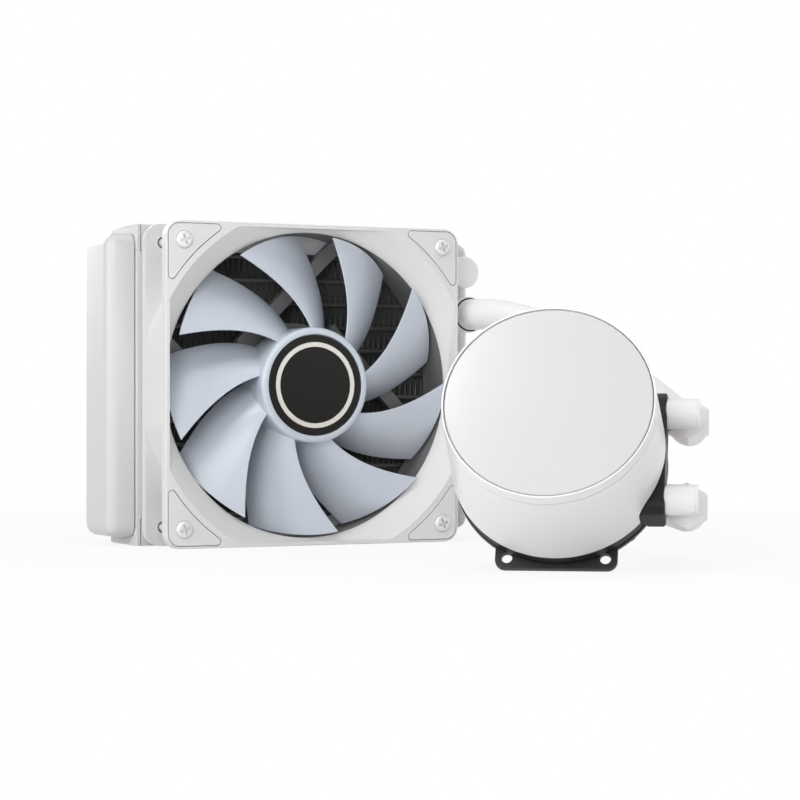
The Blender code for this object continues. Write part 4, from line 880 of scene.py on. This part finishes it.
def make_pump_cover():
    """Tapered outer shell: thin lip round the face, a fine groove and a notch for the ports."""
    front = COVER_FRONT_RADIUS
    back = COVER_BACK_RADIUS
    lip = front - COVER_LIP
    groove = front + (back - front) / COVER_HEIGHT * COVER_GROOVE
    ledge_front = -FACE_SINK - FACE_THICKNESS - SEAM
    ledge_back = ledge_front - COVER_WALL
    turn = COVER_LIP_TURN
    groove_floor = groove - COVER_GROOVE_DEPTH
    groove_front = COVER_GROOVE_WIDTH / 2 - COVER_GROOVE
    groove_back = -COVER_GROOVE_WIDTH / 2 - COVER_GROOVE
    profile = [(lip, -turn), *arc((lip + turn, -turn), turn, math.pi, math.pi / 2, steps=4)[1:],
               *arc((front - turn, -turn), turn, math.pi / 2, 0, steps=4),
               (groove, groove_front), (groove_floor, groove_front), (groove_floor, groove_back),
               (groove, groove_back), (back, SEAM - COVER_HEIGHT), (back - SEAM, -COVER_HEIGHT),
               (back - COVER_WALL, -COVER_HEIGHT), (groove - COVER_WALL, ledge_back),
               (lip - COVER_LEDGE, ledge_back), (lip - COVER_LEDGE, ledge_front), (lip, ledge_front)]
    notch = slab(round_cornered(BLOCK_HALF + NOTCH_MARGIN, COVER_HEIGHT - BLOCK_FRONT + NOTCH_MARGIN,
                                NOTCH_CORNER), 0, COVER_BACK_RADIUS)
    at_block = (Matrix.Translation((HOUSING_RADIUS / 2, 0, -COVER_HEIGHT))
                @ Euler((math.pi / 2, 0, math.pi / 2)).to_matrix().to_4x4())
    cover = worked(spun(profile), "DIFFERENCE", [placed(notch, at_block)])
    piece_from("cover_shell", cover, "pump_cover", pump_place)
    edge = lip - SEAM
    face = spun([(0, -FACE_SINK), (edge - SEAM, -FACE_SINK), (edge, -FACE_SINK - SEAM),
                 (edge, -FACE_SINK - FACE_THICKNESS), (0, -FACE_SINK - FACE_THICKNESS)])
    finish_bmesh("face_disc", face, "face_plate", pump_place)


def port_block(root, low, high, front_corner):
    """Box for the ports, soft along its outer face. Its front corners may be round."""
    bm = block((root, -BLOCK_HALF, low), (BLOCK_FACE, BLOCK_HALF, high))
    if front_corner:
        soften(bm, [edge for edge in bm.edges
                    if min(v.co.z for v in edge.verts) > high - SEAM
                    and abs(edge.verts[0].co.y - edge.verts[1].co.y) < SEAM], front_corner, steps=8)
    soften(bm, [edge for edge in bm.edges if min(v.co.x for v in edge.verts) > BLOCK_FACE - SEAM],
           BLOCK_EDGE)
    return bm


def make_housing():
    """Black base: wet chamber behind, motor pocket in front, port block at the side."""
    groove_floor = SEAL_GROOVE_DEPTH - HOUSING_BACK
    cup_outer = CUP_RADIUS + CUP_WALL
    pocket_outer = HOUSING_RADIUS - HOUSING_WALL
    pocket_floor = -HOUSING_FRONT - MOTOR_POCKET
    seat = -COVER_HEIGHT - COVER_SEAT
    profile = [(0, -HOUSING_FRONT), (cup_outer, -HOUSING_FRONT), (cup_outer, pocket_floor),
               (pocket_outer, pocket_floor), (pocket_outer, -HOUSING_FRONT),
               (HOUSING_RADIUS, -HOUSING_FRONT), (HOUSING_RADIUS, seat), (BASE_RADIUS - SEAM, seat),
               (BASE_RADIUS, seat - SEAM), (BASE_RADIUS, SEAM - HOUSING_BACK),
               (BASE_RADIUS - SEAM, -HOUSING_BACK), (SEAL_RADIUS + SEAL_GROOVE, -HOUSING_BACK),
               (SEAL_RADIUS + SEAL_GROOVE, groove_floor), (SEAL_RADIUS - SEAL_GROOVE, groove_floor),
               (SEAL_RADIUS - SEAL_GROOVE, -HOUSING_BACK), (CHAMBER_RADIUS, -HOUSING_BACK),
               (CHAMBER_RADIUS, -CHAMBER_FLOOR), (CUP_RADIUS, -CHAMBER_FLOOR), (CUP_RADIUS, -CUP_FLOOR),
               (0, -CUP_FLOOR)]
    blocks = [port_block(CHAMBER_RADIUS + SEAM, groove_floor + SEAM, -BLOCK_FRONT,
                         NOTCH_CORNER - NOTCH_MARGIN),
              port_block(SEAL_RADIUS + SEAL_GROOVE + SEAM, BLOCK_BACK_INSET - HOUSING_BACK,
                         groove_floor + 2 * BLOCK_EDGE, 0)]
    housing = worked(spun(profile), "UNION", blocks)
    bores = []
    for sign in (1, -1):
        at_port = Matrix.Translation((0, sign * PORT_SPACING, -PORT_DEPTH)) @ turned_out
        for radius, start in ((PORT_RECESS, BLOCK_FACE - PORT_RECESS_DEPTH), (PORT_BORE, PORT_BORE_END)):
            bores.append(placed(rod(radius, start, BLOCK_FACE + OVERRUN), at_port))
    shank_end = PLATE_SCREW_LENGTH - HOUSING_BACK - BRACKET_THICKNESS
    bores += [rod(PLATE_SCREW_RADIUS + SEAM, -HOUSING_BACK - OVERRUN, shank_end, place, ROUND_TINY)
              for place in plate_screw_places()]
    housing = worked(housing, "DIFFERENCE", bores)
    piece_from("housing_body", housing, "pump_housing", pump_place)


def plate_screw_places():
    angles = (math.pi / 4 + i * math.tau / PLATE_SCREW_COUNT for i in range(PLATE_SCREW_COUNT))
    return [(PLATE_SCREW_CIRCLE * math.cos(a), PLATE_SCREW_CIRCLE * math.sin(a)) for a in angles]


def make_bracket():
    """Steel plate with screw ears, the copper plate it holds and their screws."""
    front = -HOUSING_BACK - SEAM
    back = front - BRACKET_THICKNESS
    ears = slab(round_cornered(EAR_HALF, EAR_REACH, EAR_CORNER), back, front)
    soften(ears, level_edges(ears, front, back), BRACKET_SOFTENING, steps=2)
    disc = rod(BRACKET_RADIUS, back, front, steps=ROUND_PLATE)
    soften(disc, level_edges(disc, front, back), BRACKET_SOFTENING, steps=2)
    bracket = worked(ears, "UNION", [disc])
    ear_x, ear_y = EAR_HOLE_PLACE
    holes = [rod(EAR_HOLE, back - OVERRUN, front + OVERRUN, (sx * ear_x, sy * ear_y), ROUND_SMALL)
             for sx, sy in CORNERS]
    holes += [rod(PLATE_SCREW_RADIUS + SEAM, back - OVERRUN, front + OVERRUN, place, ROUND_TINY)
              for place in plate_screw_places()]
    holes.append(rod(COLD_RADIUS + SEAM, back - OVERRUN, front + OVERRUN, steps=ROUND_PLATE))
    bracket = worked(bracket, "DIFFERENCE", holes)
    piece_from("bracket_plate", bracket, "bracket", pump_place)

    step = slab(round_cornered(COLD_STEP_HALF, COLD_STEP_HALF, COLD_STEP_CORNER), back - COLD_STEP,
                front - BRACKET_THICKNESS / 2)
    soften(step, level_edges(step, back - COLD_STEP), BRACKET_SOFTENING, steps=2)
    plate = worked(rod(COLD_RADIUS, back, front, steps=ROUND_PLATE), "UNION", [step])
    piece_from("cold_plate_body", plate, "cold_plate", pump_place)

    edge = PLATE_SCREW_EDGE
    profile = [(0, PLATE_SCREW_LENGTH), (PLATE_SCREW_RADIUS, PLATE_SCREW_LENGTH),
               (PLATE_SCREW_RADIUS, 0), (PLATE_SCREW_HEAD, 0),
               *arc((PLATE_SCREW_HEAD - edge, edge - PLATE_SCREW_HEIGHT), edge, 0, -math.pi / 2,
                    steps=4), (0, -PLATE_SCREW_HEIGHT)]
    for number, (x, y) in enumerate(plate_screw_places(), start=1):
        slots = cross_slots(PLATE_SCREW_SLOT_REACH, PLATE_SCREW_SLOT, -OVERRUN,
                            -PLATE_SCREW_HEIGHT / 2, turn=0)
        screw = worked(spun(profile, ROUND_SMALL), "DIFFERENCE", slots)
        piece_from(f"plate_screw_{number}", screw, f"bracket_screw_{number}",
                   pump_place @ Matrix.Translation((x, y, back - SEAM)))


def make_elbow(side, sign):
    """Swivel elbow: round stub with a fine line at its end, neck and chamfered hexagon."""
    shoulder = BLOCK_FACE - PORT_RECESS_DEPTH + SEAM - ELBOW_CENTRE
    line = ELBOW_END - 3 * ELBOW_LINE
    soft = ELBOW_SOFTENING
    shelf = ELBOW_STUB - soft
    stub = spun([(0, ELBOW_END), (shelf - soft, ELBOW_END), (shelf, ELBOW_END - soft), (shelf, line),
                 (shelf - ELBOW_LINE, line), (shelf - ELBOW_LINE, line - ELBOW_LINE),
                 (ELBOW_STUB, line - ELBOW_LINE), (ELBOW_STUB, shoulder + soft), (shelf, shoulder),
                 (SPIGOT, shoulder), (SPIGOT, -SPIGOT_END), (0, -SPIGOT_END)], ROUND_FITTING)
    stub = placed(stub, turned_out)
    neck = rod(ELBOW_END - SEAM, -SOCKET_START - OVERRUN, 0, steps=ROUND_NECK)
    corner = SOCKET_FLATS / 2 / math.cos(math.pi / SOCKET_SIDES)
    angles = [i * math.tau / SOCKET_SIDES for i in range(SOCKET_SIDES)]
    hexagon = [(corner * math.sin(angle), corner * math.cos(angle)) for angle in angles]
    socket = slab(hexagon[::-1], -SOCKET_END, -SOCKET_START)
    soften(socket, level_edges(socket, -SOCKET_START), SOCKET_CHAMFER, steps=1)
    upright = [edge for edge in socket.edges
               if abs(edge.verts[0].co.z - edge.verts[1].co.z) > SOCKET_CHAMFER + NEAR]
    soften(socket, upright, 2 * soft, steps=2)
    elbow = worked(stub, "UNION", [neck, socket])
    piece_from("elbow_fitting_" + side, elbow, "elbow_" + side, elbow_place(sign), SHARP_FINE)


# Radiator

def make_core():
    """White header plates, their folded lips, and dark flat tubes, brazed into one piece."""
    fin_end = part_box("fin_01")[1][0]
    plate_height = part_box("side_plate_bottom")[1][2]
    front = CORE_LOW[1]
    lip_back = front + HEADER_LIP_DEPTH
    lip_end = fin_end + 2 * SEAM
    lips = []
    for sign in (-1, 1):
        for start, clear in ((fin_end - HEADER_LIP, plate_height + SEAM), (fin_end + SEAM, SEAM)):
            left, right = sorted((sign * start, sign * lip_end))
            lips.append(block((left, front, clear), (right, lip_back, CORE_HIGH[2] - clear)))
    core = worked(welded("radiator_core"), "UNION", lips)
    core = piece_from("core_brazed", core, "radiator_core", Matrix())
    core.data.materials.append(finishes["paint"])
    for face in core.data.polygons:
        beside = abs(face.center.x)
        lip = face.center.y < lip_back + NEAR and beside > fin_end - 3 * SEAM
        face.material_index = int(lip or beside > fin_end + SEAM / 2)


def make_side_plate(node, sign):
    """Channel along the radiator's top or bottom, with the fan's and the case's screw holes."""
    low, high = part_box(node)
    outer, inner = (high[2], low[2]) if sign > 0 else (low[2], high[2])
    body = block(low, high)
    web = outer - sign * SIDE_WALL
    beyond = inner - sign * OVERRUN
    soften(body, [edge for edge in level_edges(body, outer)
                  if abs(edge.verts[0].co.y - edge.verts[1].co.y) < SEAM], SIDE_SOFTENING)
    hollow = block((low[0] - OVERRUN, low[1] + SIDE_WALL, min(web, beyond)),
                   (high[0] + OVERRUN, high[1] - SIDE_WALL, max(web, beyond)))
    along_y = Matrix.Rotation(-math.pi / 2, 4, "X")
    cutters = [hollow]
    for x in (-HOLE_REACH, HOLE_REACH):
        for radius, start, end in ((SCREW_HOLE, low[1] - OVERRUN, 0), (REAR_HOLE, 0, high[1] + OVERRUN)):
            hole = rod(radius, start, end, steps=ROUND_SMALL)
            place = Matrix.Translation((x, 0, CENTRE_Z + sign * HOLE_REACH))
            cutters.append(placed(hole, place @ along_y))
    piece_from("channel_" + node, worked(body, "DIFFERENCE", cutters), node, Matrix())


def make_plug_and_collars():
    """Fill plug, and the sleeves over the hose ends, with painted shade: the recess round each hose is
    black.
    """
    towards_viewer = Matrix.Rotation(math.pi / 2, 4, "X")
    cap = (PLUG_HIGH[0] - PLUG_LOW[0]) / 2
    place = Matrix.Translation((PORT_X, PLUG_LOW[1], (PLUG_LOW[2] + PLUG_HIGH[2]) / 2))
    depth = PLUG_HIGH[1] - PLUG_LOW[1]
    plug = spun([(0, 0), *arc((cap - PLUG_EDGE, -PLUG_EDGE), PLUG_EDGE, math.pi / 2, 0, steps=5),
                 (cap, -PLUG_THICKNESS), (PLUG_STEM, -PLUG_THICKNESS), (PLUG_STEM, -depth),
                 (0, -depth)], ROUND_FITTING)
    finish_bmesh("plug_body", plug, "fill_plug", place @ towards_viewer)
    outer = (COLLAR_HIGH[0] - COLLAR_LOW[0]) / 2
    length = COLLAR_HIGH[1] - COLLAR_LOW[1]
    turn = COLLAR_TURN
    profile = [(COLLAR_INNER, -COLLAR_RECESS), (COLLAR_SLEEVE, -COLLAR_RECESS), (COLLAR_SLEEVE, 0),
               *arc((outer - turn, -turn), turn, math.pi / 2, 0, steps=4),
               (outer, turn - COLLAR_GROOVE), (outer - turn, -COLLAR_GROOVE),
               (outer, -turn - COLLAR_GROOVE), (outer, -length), (COLLAR_INNER, -length)]
    for side, sign in (("upper", 1), ("lower", -1)):
        collar = spun(profile, ROUND_FITTING)
        place = Matrix.Translation((PORT_X, COLLAR_FRONT, CENTRE_Z + sign * PORT_RISE))
        piece = finish_bmesh("sleeve_" + side, collar, "port_collar_" + side, place @ towards_viewer)
        # Painted shade: the recess round each hose takes the black seal finish, for the shade in the
        # crevice at the hose's end
        piece.data.materials.append(finishes["seal"])
        for face in piece.data.polygons:
            radius = math.hypot(face.center.x - PORT_X, face.center.z - CENTRE_Z - sign * PORT_RISE)
            recessed = face.center.y < COLLAR_FRONT + COLLAR_RECESS + NEAR
            face.material_index = int(recessed and radius < COLLAR_SLEEVE)


def make_fins():
    """Strips folded at a finer pitch than in the model, whose crests meet the tubes."""
    strips = sorted(node for node in frame["nodes"] if node.startswith("fin_"))
    for node in strips:
        low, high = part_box(node)
        folds = round((high[0] - low[0]) / FIN_FOLD)
        step = (high[0] - low[0] - FIN_THICKNESS) / folds
        top = high[2] + SEAM - FIN_THICKNESS / 2
        bottom = low[2] - SEAM + FIN_THICKNESS / 2
        corner = step * FIN_BEND
        path = []
        for i in range(folds + 1):
            x = low[0] + FIN_THICKNESS / 2 + i * step
            first, last = (bottom, top) if i % 2 == 0 else (top, bottom)
            inset = corner if last > first else -corner
            path += [(x - corner, first), (x, first + inset), (x, last - inset), (x + corner, last)]
        path = [(low[0] + FIN_THICKNESS / 2, bottom), *path[2:-2], (x, last)]
        bm = bmesh.new()
        verts = [bm.verts.new((x, low[1] + FIN_THICKNESS, z)) for x, z in path]
        edges = [bm.edges.new(pair) for pair in zip(verts, verts[1:])]
        drawn = bmesh.ops.extrude_edge_only(bm, edges=edges)
        depth = high[1] - low[1] - 2 * FIN_THICKNESS
        bmesh.ops.translate(bm, vec=(0, depth, 0), verts=new_verts(drawn))
        bmesh.ops.recalc_face_normals(bm, faces=bm.faces)
        strip = finish_bmesh("folded_" + node, bm, node, sharp=SHARP_FOLD)
        strip.modifiers.clear()
        wall = strip.modifiers.new("wall", "SOLIDIFY")
        wall.thickness = FIN_THICKNESS
        wall.offset = 0


# Surroundings

def seen_directly(tree):
    """1 for camera, glossy and transmission rays, 0 for others."""
    path = tree.nodes.new("ShaderNodeLightPath")
    most = path.outputs["Is Camera Ray"]
    for ray in ("Is Glossy Ray", "Is Transmission Ray"):
        larger = tree.nodes.new("ShaderNodeMath")
        larger.operation = "MAXIMUM"
        tree.links.new(most, larger.inputs[0])
        tree.links.new(path.outputs[ray], larger.inputs[1])
        most = larger.outputs[0]
    return most


def mix_shaders(tree, factor, usual, seen, output):
    mix = tree.nodes.new("ShaderNodeMixShader")
    tree.links.new(factor, mix.inputs[0])
    tree.links.new(usual.outputs[0], mix.inputs[1])
    tree.links.new(seen.outputs[0], mix.inputs[2])
    tree.links.new(mix.outputs[0], tree.nodes[output].inputs["Surface"])


def add_floor():
    """A pale floor that glows nearly white to the camera, but keeps the object's shadow."""
    bpy.ops.mesh.primitive_plane_add(size=FLOOR_SIZE, location=(0, 0, 0))
    floor = bpy.context.object
    floor.name = "floor"
    material, tree, shader = surface("floor_white", FLOOR_COLOUR, FLOOR_ROUGHNESS)
    shader.inputs["Specular IOR Level"].default_value = FLOOR_GLOSS
    glow = tree.nodes.new("ShaderNodeEmission")
    glow.inputs["Color"].default_value = WHITE
    where = tree.nodes.new("ShaderNodeTexCoord")
    distance = tree.nodes.new("ShaderNodeVectorMath")
    distance.operation = "LENGTH"
    fade = tree.nodes.new("ShaderNodeMapRange")
    fade.inputs["From Min"].default_value = FLOOR_FADE_START
    fade.inputs["From Max"].default_value = FLOOR_FADE_END
    fade.inputs["To Min"].default_value = FLOOR_GLOW
    fade.inputs["To Max"].default_value = 1
    portion = tree.nodes.new("ShaderNodeMath")
    portion.operation = "MULTIPLY"
    tree.links.new(where.outputs["Object"], distance.inputs[0])
    tree.links.new(distance.outputs["Value"], fade.inputs["Value"])
    tree.links.new(seen_directly(tree), portion.inputs[0])
    tree.links.new(fade.outputs["Result"], portion.inputs[1])
    mix_shaders(tree, portion.outputs[0], shader, glow, "Material Output")
    floor.data.materials.append(material)


def add_world():
    """A world that looks white but lights the object at a plain level."""
    world = bpy.data.worlds.new("world")
    world.use_nodes = True
    scene.world = world
    tree = world.node_tree
    background = tree.nodes["Background"]
    background.inputs["Color"].default_value = WORLD_TINT
    background.inputs["Strength"].default_value = WORLD_LIGHT
    white = tree.nodes.new("ShaderNodeBackground")
    white.inputs["Color"].default_value = WHITE
    mix_shaders(tree, seen_directly(tree), background, white, "World Output")


def add_lamp(name, place, target, size, power):
    data = bpy.data.lights.new(name, "AREA")
    data.shape = "DISK"
    data.size = size
    data.energy = power
    lamp = bpy.data.objects.new(name, data)
    lamp.location = place
    way = Vector(target) - Vector(place)
    lamp.rotation_euler = way.to_track_quat("-Z", "Y").to_euler()
    scene.collection.objects.link(lamp)


add_camera()
lay_hose("upper", 1, UPPER_ROUTE)
lay_hose("lower", -1, LOWER_ROUTE)
make_rotor()
make_frame()
make_pads()
make_fan_screws()
make_hub_face()
make_pump_cover()
make_housing()
make_bracket()
make_elbow("upper", 1)
make_elbow("lower", -1)
make_core()
make_fins()
make_side_plate("side_plate_top", 1)
make_side_plate("side_plate_bottom", -1)
make_plug_and_collars()
# The tanks and the inner pieces keep the shape that they have in the model
for node in sorted(frame["nodes"]):
    if node not in replaced:
        finish_bmesh(node + "_smooth", welded(node), node)

add_floor()
add_world()
for lamp in LAMPS:
    add_lamp(*lamp)
